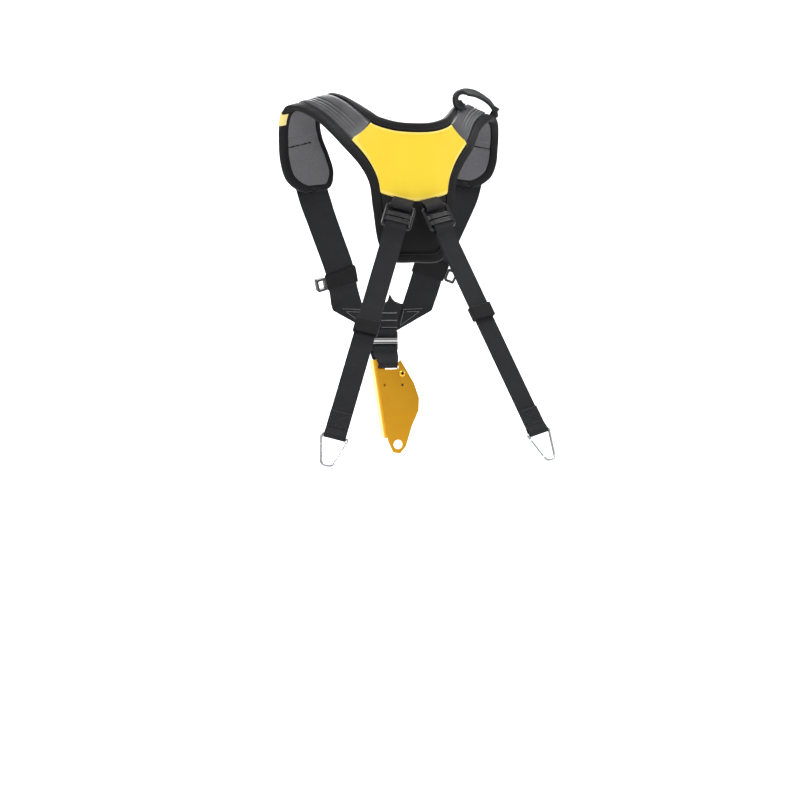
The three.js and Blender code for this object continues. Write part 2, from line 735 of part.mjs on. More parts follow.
// Slider: a frame of three bars
const sliderShape = roundedBox(new THREE.Shape(), 0, sliderUp, sliderWidth, sliderHeight, sliderCorner);
const sliderSlot = (sliderHeight - 2 * sliderBar - sliderMiddle) / 2;
const slotRise = (sliderMiddle + sliderSlot) / 2;
for (const sign of [-1, 1]) {
  const up = sliderUp + sign * slotRise;
  sliderShape.holes.push(roundedBox(new THREE.Path(), 0, up, sliderWidth - 2 * sliderBar, sliderSlot, 1));
}
const sliderY = chestY - sliderSetBack;
addPiece('slider', uprightPlate(sliderShape, sliderY - sliderThickness / 2, sliderThickness, 2), 'steel');

// Chest strap: down the front, through the clamp's slot and up the body side, where it weaves
// through the slider. Its rows follow the slot's bar and the slider's bars.
const barFoot = clampTop - slotDrop + slotHeight / 2;
const strapFront = clampY + clampPlate / 2;
const strapBack = clampY - clampPlate / 2;
const weave = sliderThickness / 2 + 2 * gap + webbing / 2 + 0.2;
const barRise = (sliderHeight - sliderBar) / 2;
const runWidth = sliderWidth - 2 * sliderBar - 2 * wideGap;
const strapSeat = chestY + webbing + wideGap;
const slotRun = 4;
const slotStep = 1.2;
const slotEase = 2.2;
const foldDrop = 2.4;
const chestRows = [
  { y: strapSeat, z: chestPatchTop - slotRun, width: chestWidth },
  { y: strapSeat, z: chestPatchFoot - patchLap, width: chestWidth },
  { y: strapSeat - wideGap - 1, z: sliderUp - sliderMiddle, width: chestWidth },
  { y: clampY + 15, z: clampTop + 3, width: chestWidth * 0.86 },
  { y: strapFront + 3.6, z: barFoot + 2, width: slotWidth - slotEase },
  { y: strapFront + 1, z: barFoot - foldDrop, width: slotWidth - slotEase },
  { y: strapBack - 1, z: barFoot - foldDrop, width: slotWidth - slotEase },
  { y: strapBack - 2.6, z: barFoot + 2, width: slotWidth - slotEase },
  { y: clampY + 6, z: clampTop + slotRun, width: chestWidth * 0.78 },
  { y: sliderY - weave - 2, z: sliderUp - barRise - slotRun, width: runWidth },
  { y: sliderY - weave, z: sliderUp - barRise + slotStep, width: runWidth },
  { y: sliderY, z: sliderUp - slotRise, width: runWidth },
  { y: sliderY + weave, z: sliderUp - sliderMiddle / 2, width: runWidth },
  { y: sliderY + weave, z: sliderUp + sliderMiddle / 2, width: runWidth },
  { y: sliderY, z: sliderUp + slotRise, width: runWidth },
  { y: sliderY - weave, z: sliderUp + barRise, width: runWidth },
  { y: sliderY - weave + 0.6, z: sliderUp + barRise + slotRun, width: runWidth },
];
const chestSteps = 3 * (chestRows.length - 1);
addPiece('chest_strap', uprightBand(chestRows, chestSteps, webbing), 'webbing');

// Rope clamp
// Plate outline: side and down are from the middle of the plate's top, down as a share of clampHeight
// and side as a share of clampReach.
const clampRows = [
  { side: -0.385, down: 0.000 },
  { side: -0.026, down: 0.860 },
  { side: 0.14, down: 0.985 },
  { side: 0.36, down: 1.000 },
  { side: 0.56, down: 0.920 },
  { side: 0.74, down: 0.720 },
  { side: 0.98, down: 0.540 },
  { side: 1.00, down: 0.410 },
  { side: 0.84, down: 0.250 },
  { side: 0.41, down: 0.000 },
  { side: 0.33, down: 0.036 },
  { side: -0.30, down: 0.036 },
];
const pivotSide = 18.8;
const pivotDown = 17.6;
const holeRadius = 1.6;
const holeSpan = 23.5;
const holeDrop = 15;
const lowerHoleRadius = 6;

function clampPoint(entry) {
  return [entry.side * clampReach, clampTop - entry.down * clampHeight];
}

function drill(shape, x, y, radius) {
  shape.holes.push(new THREE.Path().absarc(x, y, radius, 0, Math.PI * 2, false));
}

const plateShape = new THREE.Shape(clampRows.map((entry) => new THREE.Vector2(...clampPoint(entry))));
const pivot = new THREE.Vector2(pivotSide, clampTop - pivotDown);
plateShape.holes.push(roundedBox(new THREE.Path(), slotSide, clampTop - slotDrop, slotWidth, slotHeight, 1.5));
drill(plateShape, pivot.x, pivot.y, rivetRadius + gap);
drill(plateShape, pivot.x - holeSpan, pivot.y - holeDrop, holeRadius);
drill(plateShape, pivot.x, pivot.y - holeDrop, holeRadius);
drill(plateShape, clampReach * 0.3, clampTop - clampHeight * 0.9, lowerHoleRadius);
const clampPlateSolid = uprightPlate(plateShape, clampY - clampPlate / 2, clampPlate, 6);

// Rope channel: the plate's left edge bent forwards and back over the rope
const channelLap = 0.8;

function channelShape() {
  const [wall, outer, inner] = [clampPlate, channelBend, channelBend - clampPlate];
  const [back, front] = [-wall / 2, channelDepth];
  const shape = new THREE.Shape();
  shape.moveTo(outer + channelLap, back);
  shape.lineTo(outer, back);
  shape.absarc(outer, back + outer, outer, -Math.PI / 2, -Math.PI, true);
  shape.lineTo(0, front - outer);
  shape.absarc(outer, front - outer, outer, Math.PI, Math.PI / 2, true);
  shape.lineTo(channelWidth, front);
  shape.lineTo(channelWidth, front - wall);
  shape.lineTo(outer, front - wall);
  shape.absarc(outer, front - outer, inner, Math.PI / 2, Math.PI, false);
  shape.lineTo(wall, back + outer);
  shape.absarc(outer, back + outer, inner, Math.PI, Math.PI * 1.5, false);
  shape.lineTo(outer + channelLap, wall / 2);
  shape.closePath();
  return shape;
}
const channelLength = clampHeight * 0.84;
const channel = extrude(channelShape(), channelLength, 3)
  .translate(0, 0, -channelLength)
  .rotateY(-radians(channelTilt))
  .translate(channelSide, clampY, clampTop);
addPiece('clamp_body', join([clampPlateSolid, channel]), 'gold');

// Cam, toothed towards the channel, and the catch on its boss
// Side and down are millimetres from the rivet.
const camRows = [
  { side: -8.0, down: -1 }, { side: -10.0, down: 5 }, { side: -17.0, down: 14 }, { side: -21.5, down: 24 },
  { side: -22.5, down: 34 }, { side: -18.0, down: 38 }, { side: -8.0, down: 33 }, { side: 3.0, down: 21 },
  { side: 8.5, down: 8 }, { side: 8.0, down: -2 }, { side: 4.0, down: -7 }, { side: -4.0, down: -7 },
];
const catchRows = [
  { side: -9.0, down: 19 }, { side: -12.0, down: 25 }, { side: -8.5, down: 30 }, { side: 4.0, down: 33 },
  { side: 13.0, down: 39 }, { side: 18.5, down: 36 }, { side: 14.0, down: 27 }, { side: 2.0, down: 19 },
];
const bossSide = -5;
const bossDown = 25;
const bossRadius = 2.2;
const bossProud = 1;
const camInner = clampY + clampPlate / 2 + wideGap;
const camOuter = camInner + camThickness;
const catchPivot = new THREE.Vector2(pivot.x + bossSide, pivot.y - bossDown);

function pivotShape(rows) {
  return new THREE.Shape(rows.map((entry) => new THREE.Vector2(pivot.x + entry.side, pivot.y - entry.down)));
}

const camShape = pivotShape(camRows);
drill(camShape, pivot.x, pivot.y, rivetRadius + gap);
const bossShape = new THREE.Shape().absarc(catchPivot.x, catchPivot.y, bossRadius, 0, Math.PI * 2, false);
const bossHeight = camThickness + gap + catchThickness + bossProud;
addPiece('clamp_cam', join([
  uprightPlate(camShape, camInner, camThickness, 6),
  uprightPlate(bossShape, camInner, bossHeight, 6),
]), 'steel');

const catchShape = pivotShape(catchRows);
drill(catchShape, catchPivot.x, catchPivot.y, bossRadius + gap);
addPiece('clamp_catch', uprightPlate(catchShape, camOuter + gap, catchThickness, 6), 'blackSteel');

// Rivet through the plate and the cam, with a domed head on each side
const rivetBack = clampY - clampPlate / 2 - gap;
const rivetFront = camOuter + gap;
const headHeight = 1.4;
const headRim = 0.4;
const headRadius = rivetRadius + 1.4;
const rivetProfile = [
  [0, rivetBack - headHeight], [headRadius * 0.6, rivetBack - headHeight], [headRadius, rivetBack - headRim],
  [headRadius, rivetBack], [rivetRadius, rivetBack], [rivetRadius, rivetFront], [headRadius, rivetFront],
  [headRadius, rivetFront + headRim], [headRadius * 0.6, rivetFront + headHeight], [0, rivetFront + headHeight],
];
const rivet = new THREE.LatheGeometry(rivetProfile.map(([radius, y]) => new THREE.Vector2(radius, y)), 12);
addPiece('clamp_rivet', rivet.translate(pivot.x, 0, pivot.y), 'steel');

// Rear straps, buckles and wire links
// Places are t down the strap from the buckle's middle bar and n out of the strap's face.
function rearFrame(hand) {
  const top = vector(hand * rearTopSide, rearTopY, rearTopUp);
  const foot = vector(hand * rearFootSide, rearFootY, rearFootUp);
  const along = foot.clone().sub(top).normalize();
  const turn = radians(rearTurn);
  const across = vector(Math.cos(turn), hand * Math.sin(turn), 0);
  across.addScaledVector(along, -across.dot(along)).normalize();
  const normal = vector(0, 0, 0).crossVectors(along, across);
  const place = (x, t, n) => top.clone().addScaledVector(across, x).addScaledVector(along, t)
    .addScaledVector(normal, n);
  return { along, across, normal, place, length: foot.distanceTo(top) };
}

// Webbing through t and n pairs on a rear frame
function rearBand(frame, route, width) {
  const points = route.map(([t, n]) => frame.place(0, t, n));
  const stations = points.map((point, i) => {
    const before = points[Math.max(i - 1, 0)];
    const after = points[Math.min(i + 1, points.length - 1)];
    const tangent = after.clone().sub(before).normalize();
    const normal = vector(0, 0, 0).crossVectors(frame.across, tangent).normalize();
    return { point, across: frame.across, normal, width, thickness: webbing };
  });
  return band(stations);
}

// Points round a bar or a wire, from one angle to another, 0 being furthest down the strap
function turnRound(t, n, radius, from, to, steps) {
  return Array.from({ length: steps + 1 }, (_, i) => {
    const angle = radians(THREE.MathUtils.lerp(from, to, i / steps));
    return [t + radius * Math.cos(angle), n + radius * Math.sin(angle)];
  });
}

const buckleLevel = buckleThickness / 2 + 2 * gap + 1.5 * webbing;
const buckleStep = (buckleHeight - buckleBar) / 2;
const barTurn = Math.hypot(buckleBar, buckleThickness) / 2 + gap + webbing / 2;
const tailLevel = webbing + gap;
const wireTurn = linkWire / 2 + gap + webbing / 2;
const wireLevel = tailLevel / 2;
const tailKeeperPlaces = { left: 148, right: 129 };
const buckleStrapTop = 26;
const barLead = 6;
const barRun = 20;
const foldLead = 5.4;
const foldLift = 0.9;
const eyeLead = 9;
const seamLevels = { inner: -1.4, outer: 1 };
const loopLevels = { inner: 0.4, outer: 6.2 };

// A round wire through points that lie in a plane
function roundWire(points, planeNormal, radius, sides) {
  const rings = points.map((point, i) => {
    const before = points[Math.max(i - 1, 0)];
    const after = points[Math.min(i + 1, points.length - 1)];
    const tangent = after.clone().sub(before).normalize();
    const sideways = vector(0, 0, 0).crossVectors(planeNormal, tangent).normalize();
    return Array.from({ length: sides }, (_, j) => {
      const angle = (j / sides) * Math.PI * 2;
      return point.clone().addScaledVector(sideways, radius * Math.cos(angle))
        .addScaledVector(planeNormal, radius * Math.sin(angle));
    });
  });
  const section = Array.from({ length: sides }, (_, j) => {
    const angle = (j / sides) * Math.PI * 2;
    return new THREE.Vector2(Math.cos(angle), Math.sin(angle));
  });
  return loft(rings, section);
}

for (const [side, hand] of [['left', -1], ['right', 1]]) {
  const frame = rearFrame(hand);
  const eye = frame.length;
  const keeperPlace = tailKeeperPlaces[side];

  const strapRoute = [
    [keeperPlace, tailLevel], [buckleStep + barRun, tailLevel], [buckleStep + 2, tailLevel],
    [buckleStep - 2, tailLevel], [buckleStep - foldLead, tailLevel + foldLift],
    ...turnRound(0, buckleLevel, barTurn, 60, 280, 6),
    [buckleStep - barLead, 0], [buckleStep, 0], [buckleStep + barRun, 0], [keeperPlace, 0], [eye - eyeLead, 0],
    ...turnRound(eye, wireLevel, wireTurn, -115, 115, 6),
    [eye - eyeLead, tailLevel], [eye - eyeReturn, tailLevel],
  ];
  addPiece(`rear_strap_${side}`, rearBand(frame, strapRoute, rearWidth), 'webbing');

  const buckleShape = roundedBox(new THREE.Shape(), 0, 0, buckleWidth, buckleHeight, 4);
  const slotTall = buckleStep - buckleBar;
  for (const sign of [-1, 1]) {
    const middle = sign * buckleStep / 2;
    buckleShape.holes.push(roundedBox(new THREE.Path(), 0, middle, buckleWidth - 2 * buckleBar, slotTall, 1.2));
  }
  const buckleSeat = { across: frame.across, along: frame.along.clone().negate(), normal: frame.normal,
    point: frame.place(0, 0, buckleLevel) };
  const buckle = extrude(buckleShape, buckleThickness, 2).translate(0, 0, -buckleThickness / 2);
  addPiece(`buckle_${side}`, buckle.applyMatrix4(placement(buckleSeat)), 'blackSteel');

  const buckleRoute = [
    [-buckleStrapTop, seamLevels.inner], [-buckleStep - barLead, loopLevels.inner],
    ...turnRound(-buckleStep, buckleLevel, barTurn, -100, 100, 6),
    [-buckleStep - barLead, loopLevels.outer], [-buckleStrapTop, seamLevels.outer],
  ];
  addPiece(`buckle_strap_${side}`, rearBand(frame, buckleRoute, rearWidth), 'webbing');

  const keeperStations = [-0.75, 0.25].map((share) => ({ across: frame.across, normal: frame.normal,
    point: frame.place(0, keeperPlace + share * tailKeeperHeight, tailLevel / 2),
    width: rearWidth, thickness: 2 * webbing + gap }));
  addPiece(`tail_keeper_${side}`, sleeve(keeperStations, elastic), 'webbing');

  // The wire runs from the gate's hinge, through the eye and round the foot to the gate's nose.
  const inner = -hand;
  const half = linkWidth / 2;
  const foot = linkFoot / 2;
  const sideAt = (t) => THREE.MathUtils.lerp(half, foot, t / linkHeight);
  const linkRoute = [
    [inner * sideAt(gateEnd), gateEnd], [inner * sideAt(linkCorner), linkCorner],
    [inner * (half - cornerCut), cornerCut], [inner * (half - linkCorner), 0],
    [-inner * (half - linkCorner), 0], [-inner * (half - cornerCut), cornerCut],
    [-inner * sideAt(linkCorner), linkCorner], [-inner * sideAt(linkHeight - linkCorner), linkHeight - linkCorner],
    [-inner * (foot - footCut), linkHeight - footRise], [-inner * (foot - footRound), linkHeight],
    [inner * (foot - footRound), linkHeight], [inner * (foot - footCut), linkHeight - footRise],
    [inner * sideAt(linkHeight - noseEnd), linkHeight - noseEnd],
  ];
  const linkStations = linkRoute.map(([x, t]) => frame.place(x, eye + t, wireLevel));
  addPiece(`wire_link_${side}`, roundWire(linkStations, frame.normal, linkWire / 2, 10), 'steel');

  const gateSpan = [gateEnd + gateJoint, linkHeight - noseEnd - gateJoint];
  const gateRoute = gateSpan.map((t) => [inner * sideAt(t), t]);
  const gateStations = gateRoute.map(([x, t]) => frame.place(x, eye + t, wireLevel));
  addPiece(`link_gate_${side}`, roundWire(gateStations, frame.normal, gateWire / 2, 8), 'steel');
}

export default group;
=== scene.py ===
import functools
import math

import bpy
import numpy as np
from mathutils import Matrix, Vector


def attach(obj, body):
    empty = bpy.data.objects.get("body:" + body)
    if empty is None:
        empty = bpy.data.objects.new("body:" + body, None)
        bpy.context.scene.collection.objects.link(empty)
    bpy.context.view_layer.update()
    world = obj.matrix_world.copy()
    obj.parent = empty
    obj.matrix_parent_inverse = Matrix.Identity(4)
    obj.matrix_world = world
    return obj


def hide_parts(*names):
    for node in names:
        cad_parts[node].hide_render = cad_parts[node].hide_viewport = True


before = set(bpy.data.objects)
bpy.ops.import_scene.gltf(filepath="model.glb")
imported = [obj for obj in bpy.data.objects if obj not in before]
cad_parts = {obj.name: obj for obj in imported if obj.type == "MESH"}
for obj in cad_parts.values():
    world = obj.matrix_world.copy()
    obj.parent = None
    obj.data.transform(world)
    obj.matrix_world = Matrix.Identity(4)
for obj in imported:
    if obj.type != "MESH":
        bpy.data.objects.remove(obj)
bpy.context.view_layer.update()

# The studio: a pale sweep that rises far behind the harness, an even pale sky and three soft panels.
# The camera stands behind the harness, a little round to its left and level with the small of the back.
MM = 0.001
SWEEP = [(-6.0, -0.9), (6.5, -0.9), (7.8, -0.75), (8.8, -0.2), (9.4, 1.0), (9.6, 9.0)]


def make_mesh(name, points, faces):
    """A smooth mesh object from points in metres"""
    mesh = bpy.data.meshes.new(name)
    mesh.from_pydata([tuple(p) for p in points], [], faces)
    mesh.polygons.foreach_set("use_smooth", [True] * len(mesh.polygons))
    mesh.update()
    obj = bpy.data.objects.new(name, mesh)
    bpy.context.scene.collection.objects.link(obj)
    return obj


def shader(name, colour, roughness, metallic=0.0, **sockets):
    """A material whose even values sit on the shader's own sockets"""
    material = bpy.data.materials.new(name)
    material.use_nodes = True
    surface = material.node_tree.nodes["Principled BSDF"]
    surface.inputs["Base Color"].default_value = (*colour, 1.0)
    surface.inputs["Roughness"].default_value = roughness
    surface.inputs["Metallic"].default_value = metallic
    for socket, value in sockets.items():
        surface.inputs[socket.replace("_", " ")].default_value = value
    return material


rails = [(x, y, z) for y, z in SWEEP for x in (-14.0, 14.0)]
sweep = make_mesh("sweep", rails, [(2 * i, 2 * i + 1, 2 * i + 3, 2 * i + 2) for i in range(len(SWEEP) - 1)])
sweep.data.materials.append(shader("studio_white", (0.97, 0.97, 0.97), 0.9, Specular_IOR_Level=0.1))

world = bpy.data.worlds.new("studio_sky")
world.use_nodes = True
world.node_tree.nodes["Background"].inputs["Color"].default_value = (1.0, 1.0, 1.0, 1.0)
world.node_tree.nodes["Background"].inputs["Strength"].default_value = 0.6
bpy.context.scene.world = world
bpy.context.scene.view_settings.view_transform = "Standard"

# Each light: name, place in metres, the point it faces, size in metres and power in watts. The last
# two only whiten the sweep.
for name, place, facing, size, power in [
    ("key", (-1.2, -1.2, 1.5), (0, 0, -0.1), 0.7, 26),
    ("top", (0.5, 0.1, 1.6), (0, 0, 0), 0.9, 24),
    ("side", (1.7, -0.9, 0.3), (0, 0, -0.2), 0.8, 9),
    ("sweep_floor", (0.0, 4.2, 4.2), (0, 4.0, -0.9), 4.0, 420),
    ("sweep_wall", (0.0, 4.6, 2.6), (0, 9.4, 0.6), 4.0, 300),
]:
    lamp = bpy.data.lights.new(name, "AREA")
    lamp.size = size
    lamp.energy = power
    light = bpy.data.objects.new(name, lamp)
    light.location = place
    light.rotation_euler = (Vector(facing) - Vector(place)).to_track_quat("-Z", "Y").to_euler()
    bpy.context.scene.collection.objects.link(light)

CAMERA_AZIMUTH, CAMERA_ELEVATION, CAMERA_ROLL = (math.radians(a) for a in (-13.0, 1.365, -0.68))
CAMERA_DISTANCE = 1.8
CAMERA_TARGET = Vector((0.00028, 0.0, -0.35655))
camera_data = bpy.data.cameras.new("camera")
camera_data.lens = 64.8
camera_data.sensor_width = 36.0
camera = bpy.data.objects.new("camera", camera_data)
right = Vector((math.cos(CAMERA_AZIMUTH), math.sin(CAMERA_AZIMUTH), 0))
ahead = Vector((-math.sin(CAMERA_AZIMUTH) * math.cos(CAMERA_ELEVATION),
                math.cos(CAMERA_AZIMUTH) * math.cos(CAMERA_ELEVATION), -math.sin(CAMERA_ELEVATION)))
up = right.cross(ahead)
rolled_right = right * math.cos(CAMERA_ROLL) + up * math.sin(CAMERA_ROLL)
rolled_up = up * math.cos(CAMERA_ROLL) - right * math.sin(CAMERA_ROLL)
camera.matrix_world = Matrix.Translation(CAMERA_TARGET - ahead * CAMERA_DISTANCE) @ Matrix(
    (rolled_right, rolled_up, -ahead)).transposed().to_4x4()
bpy.context.scene.collection.objects.link(camera)
bpy.context.scene.camera = camera

# The yoke's pad: one piece of foam from the tail of the back over both shoulders to the ends of the
# front pads, faced with a smooth coated fabric and quilted in channels along each shoulder. Its back
# has a knitted spacer fabric. The two edges are closed by tapes.
SHOULDER_HALF, YOKE_REACH, YOKE_DROP = 140.0, 100.0, 190.0
PAD_EDGE, PAD_PUFF, GROOVE_DEPTH, SHOULDER_TILT = 4.0, 3.0, 1.3, 3.6
TAPE_GAP, TAPE_THICKNESS, TAPE_WIDTH = 0.6, 1.2, 10.0
GAP, WIDE_GAP = 0.3, 0.5
# Per row: neck side, fore, up; edge side, fore, up; puff, groove, neck tape, edge tape and tilt
YOKE_ROWS = [
    (0.000, -0.910, -0.153, 0.000, -0.900, -0.997, 0.4, 0.0, 0.90, 1.05, 0.0),
    (0.100, -0.900, -0.150, 0.221, -0.880, -0.984, 0.4, 0.0, 0.90, 1.05, 0.0),
    (0.164, -0.880, -0.142, 0.300, -0.845, -0.889, 0.4, 0.0, 0.90, 1.05, 0.0),
    (0.221, -0.850, -0.129, 0.346, -0.820, -0.658, 0.4, 0.0, 0.90, 1.05, 0.0),
    (0.261, -0.815, -0.116, 0.371, -0.795, -0.500, 0.4, 0.0, 0.90, 1.05, 0.0),
    (0.293, -0.775, -0.103, 0.436, -0.740, -0.392, 0.4, 0.0, 0.90, 1.05, 0.0),
    (0.339, -0.685, -0.071, 0.556, -0.600, -0.268, 0.6, 0.0, 0.80, 1.05, 0.2),
    (0.455, -0.380, 0.018, 0.700, -0.250, -0.108, 1.0, 1.0, 0.45, 1.00, 0.6),
    (0.532, -0.195, 0.063, 0.800, -0.060, -0.037, 1.0, 1.0, 0.40, 0.95, 0.9),
    (0.595, -0.040, 0.079, 0.900, 0.090, 0.005, 1.0, 1.0, 0.40, 0.90, 1.0),
    (0.643, 0.120, 0.053, 0.971, 0.220, 0.003, 1.0, 1.0, 0.35, 0.90, 1.0),
    (0.671, 0.270, -0.032, 1.000, 0.330, -0.074, 0.9, 0.5, 0.32, 0.90, 0.5),
    (0.643, 0.350, -0.137, 1.001, 0.380, -0.184, 0.8, 0.0, 0.30, 0.90, 0.0),
    (0.575, 0.380, -0.253, 0.988, 0.390, -0.295, 0.8, 0.0, 0.30, 0.90, -0.6),
    (0.538, 0.395, -0.347, 0.939, 0.398, -0.395, 0.8, 0.0, 0.32, 0.90, -1.2),
    (0.571, 0.400, -0.437, 0.846, 0.400, -0.455, 0.5, 0.0, 0.60, 0.90, -1.4),
    (0.728, 0.400, -0.476, 0.772, 0.400, -0.476, 0.0, 0.0, 0.60, 0.60, -1.4),
]
LAST_ROW = len(YOKE_ROWS) - 1
PUFF, GROOVE, NECK_TAPE, EDGE_TAPE = 6, 7, 8, 9


class Spline:
    """A centripetal curve through points; places on it run from 0 to 1."""

    def __init__(self, points):
        self.points = [np.array(p, float) for p in points]

    def at(self, share):
        pts = self.points
        place = min(max(share, 0.0), 1.0) * (len(pts) - 1)
        i = min(int(place), len(pts) - 2)
        w = place - i
        p1, p2 = pts[i], pts[i + 1]
        p0 = pts[i - 1] if i > 0 else 2 * p1 - p2
        p3 = pts[i + 2] if i + 2 < len(pts) else 2 * p2 - p1
        d0, d1, d2 = (max(math.dist(a, b), 1e-8) ** 0.5 for a, b in ((p0, p1), (p1, p2), (p2, p3)))
        t1 = ((p1 - p0) / d0 - (p2 - p0) / (d0 + d1) + (p2 - p1) / d1) * d1
        t2 = ((p2 - p1) / d1 - (p3 - p1) / (d1 + d2) + (p3 - p2) / d2) * d1
        c2 = 3 * (p2 - p1) - 2 * t1 - t2
        c3 = 2 * (p1 - p2) + t1 + t2
        return p1 + t1 * w + c2 * w * w + c3 * w * w * w

    def tangent(self, share):
        return unit(self.at(min(share + 1e-4, 1.0)) - self.at(max(share - 1e-4, 0.0)))


def unit(v):
    return v / math.sqrt(float(np.dot(v, v)))


def lerp(a, b, t):
    return a + (b - a) * t


def yoke_edge(column):
    rows = []
    for index in range(-LAST_ROW, LAST_ROW + 1):
        row = YOKE_ROWS[abs(index)]
        hand = (index > 0) - (index < 0)
        side, fore, rise = row[column:column + 3]
        rows.append((hand * side * SHOULDER_HALF, fore * YOKE_REACH,
                     rise * YOKE_DROP - hand * row[10] * SHOULDER_TILT))
    return Spline(rows)


NECK_CURVE, EDGE_CURVE = yoke_edge(0), yoke_edge(3)


def yoke_value(column, row):
    place = min(abs(row), LAST_ROW)
    low = min(int(place), LAST_ROW - 1)
    return lerp(YOKE_ROWS[low][column], YOKE_ROWS[low + 1][column], place - low)


@functools.lru_cache(maxsize=None)
def yoke_frame(row):
    """The neck and edge points of a row, and how each moves from the row before to the row after"""
    low, high = max(row - 0.05, -LAST_ROW), min(row + 0.05, LAST_ROW)
    places = [(r + LAST_ROW) / (2 * LAST_ROW) for r in (row, low, high)]
    neck, neck_low, neck_high = (NECK_CURVE.at(p) for p in places)
    edge, edge_low, edge_high = (EDGE_CURVE.at(p) for p in places)
    return neck, edge, neck_high - neck_low, edge_high - edge_low, math.dist(neck, edge)


def yoke_width(row):
    return yoke_frame(row)[4]


def yoke_normal(row, share):
    neck, edge, neck_run, edge_run, _ = yoke_frame(row)
    return unit(np.cross(edge - neck, lerp(neck_run, edge_run, min(max(share, 0.2), 0.8))))


def yoke_point(row, distance, height):
    """A point at a distance from the neck edge along a row, and at a height over the middle layer"""
    neck, edge, _, _, width = yoke_frame(row)
    return lerp(neck, edge, distance / width) + yoke_normal(row, distance / width) * height


LINE_STEPS = 1200


def drawn_line(curve):
    return np.array([curve.at(i / LINE_STEPS) for i in range(LINE_STEPS + 1)])


NECK_LINE, EDGE_LINE = drawn_line(NECK_CURVE), drawn_line(EDGE_CURVE)


@functools.lru_cache(maxsize=None)
def tape_cover(column, row):
    """The length along a row that the tape on its neck or outer edge covers"""
    neck, edge, _, _, width = yoke_frame(row)
    line, start, end = (NECK_LINE, neck, edge) if column == NECK_TAPE else (EDGE_LINE, edge, neck)
    wanted = TAPE_WIDTH * yoke_value(column, row)
    steps = np.linspace(0, 0.42, 64)
    places = start + (end - start) * steps[:, None]
    clear = np.min(np.linalg.norm(places[:, None] - line[None], axis=2), axis=1)
    return float(np.interp(wanted, np.maximum.accumulate(clear), steps)) * width


def spread(low, high, step):
    count = max(int(round((high - low) / step)), 1)
    return [lerp(low, high, i / count) for i in range(count + 1)]


class Skin:
    """Gathers surfaces into one mesh; each keeps its lengths round and along as a map in metres."""

    def __init__(self):
        self.points, self.faces, self.maps, self.paints = [], [], [], []

    def rings(self, rings, closed=True, caps=True, paint=0):
        """A surface through equal rings of points; paint is a material's index or depends on (i, j)"""
        rings = np.array(rings, float)
        count, wide = rings.shape[:2]
        start = len(self.points)
        self.points += [tuple(p) for p in rings.reshape(-1, 3) * MM]
        middles = rings.mean(axis=1)
        along = np.concatenate([[0], np.cumsum(np.linalg.norm(np.diff(middles, axis=0), axis=1))]) * MM
        looped = np.concatenate([rings, rings[:, :1]], axis=1)
        steps = np.linalg.norm(np.diff(looped, axis=1), axis=2)
        around = np.concatenate([np.zeros((count, 1)), np.cumsum(steps, axis=1)], axis=1) * MM
        for i in range(count - 1):
            for j in range(wide if closed else wide - 1):
                k = (j + 1) % wide
                a, b = start + i * wide, start + (i + 1) * wide
                self.faces.append((a + j, a + k, b + k, b + j))
                self.maps += [(around[i][j], along[i]), (around[i][j + 1], along[i]),
                              (around[i + 1][j + 1], along[i + 1]), (around[i + 1][j], along[i + 1])]
                self.paints.append(paint(i, j) if callable(paint) else paint)
        if closed and caps:
            last = start + (count - 1) * wide
            for cap in (tuple(range(start + wide - 1, start - 1, -1)), tuple(range(last, last + wide))):
                self.faces.append(cap)
                self.maps += [(0.0, 0.0)] * wide
                self.paints.append(paint(0, 0) if callable(paint) else paint)

    def tube(self, path, radius, sides=8, paint=0, flat=1.0):
        """A round strand through points; radius may change along it"""
        path = [np.array(p, float) for p in path]
        rings = []
        side = None
        for i, point in enumerate(path):
            ahead = unit(path[min(i + 1, len(path) - 1)] - path[max(i - 1, 0)])
            if side is None:
                side = np.cross(ahead, (0.3, 0.2, 1.0) if abs(ahead[2]) < 0.8 else (1.0, 0.2, 0.3))
            side = unit(side - ahead * np.dot(side, ahead))
            rise = np.cross(ahead, side)
            size = radius[i] if isinstance(radius, (list, tuple)) else radius
            rings.append([point + side * (size * math.cos(2 * math.pi * j / sides))
                          + rise * (size * flat * math.sin(2 * math.pi * j / sides)) for j in range(sides)])
        self.rings(rings, paint=paint)

    def stitch(self, start, end, normal, paint=1, radius=0.3):
        """One thread of a seam, sunk at both ends"""
        lift = normal * radius
        crest = [lerp(start, end, share) + lift * 0.6 for share in (0.18, 0.82)]
        self.tube([start - lift * 0.9, *crest, end - lift * 0.9], radius, sides=6, paint=paint)

    def seam(self, places, normals, pitch=3.2, length=2.3, paint=1, radius=0.3):
        """Stitches at an even pitch along a line of close places"""
        places = [np.array(p, float) for p in places]
        steps = [0.0]
        for a, b in zip(places, places[1:]):
            steps.append(steps[-1] + math.dist(a, b))
        table = np.array(places)

        def at(distance):
            return np.array([np.interp(distance, steps, table[:, k]) for k in range(3)])

        count = int(steps[-1] // pitch)
        rest = (steps[-1] - count * pitch) / 2
        for n in range(count):
            begin = rest + n * pitch
            near = min(range(len(steps)), key=lambda k: abs(steps[k] - begin))
            self.stitch(at(begin), at(begin + length), normals[near], paint, radius)

    def piece(self, name, materials, body, slot, *nodes):
        """The finished piece, on its body and in place of its CAD nodes"""
        obj = make_mesh(name, self.points, self.faces)
        layer = obj.data.uv_layers.new(name="cloth")
        layer.data.foreach_set("uv", [float(c) for pair in self.maps for c in pair])
        for material in materials:
            obj.data.materials.append(material)
        obj.data.polygons.foreach_set("material_index", self.paints)
        obj.data.update()
        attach(obj, body)
        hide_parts(*nodes)
        return obj


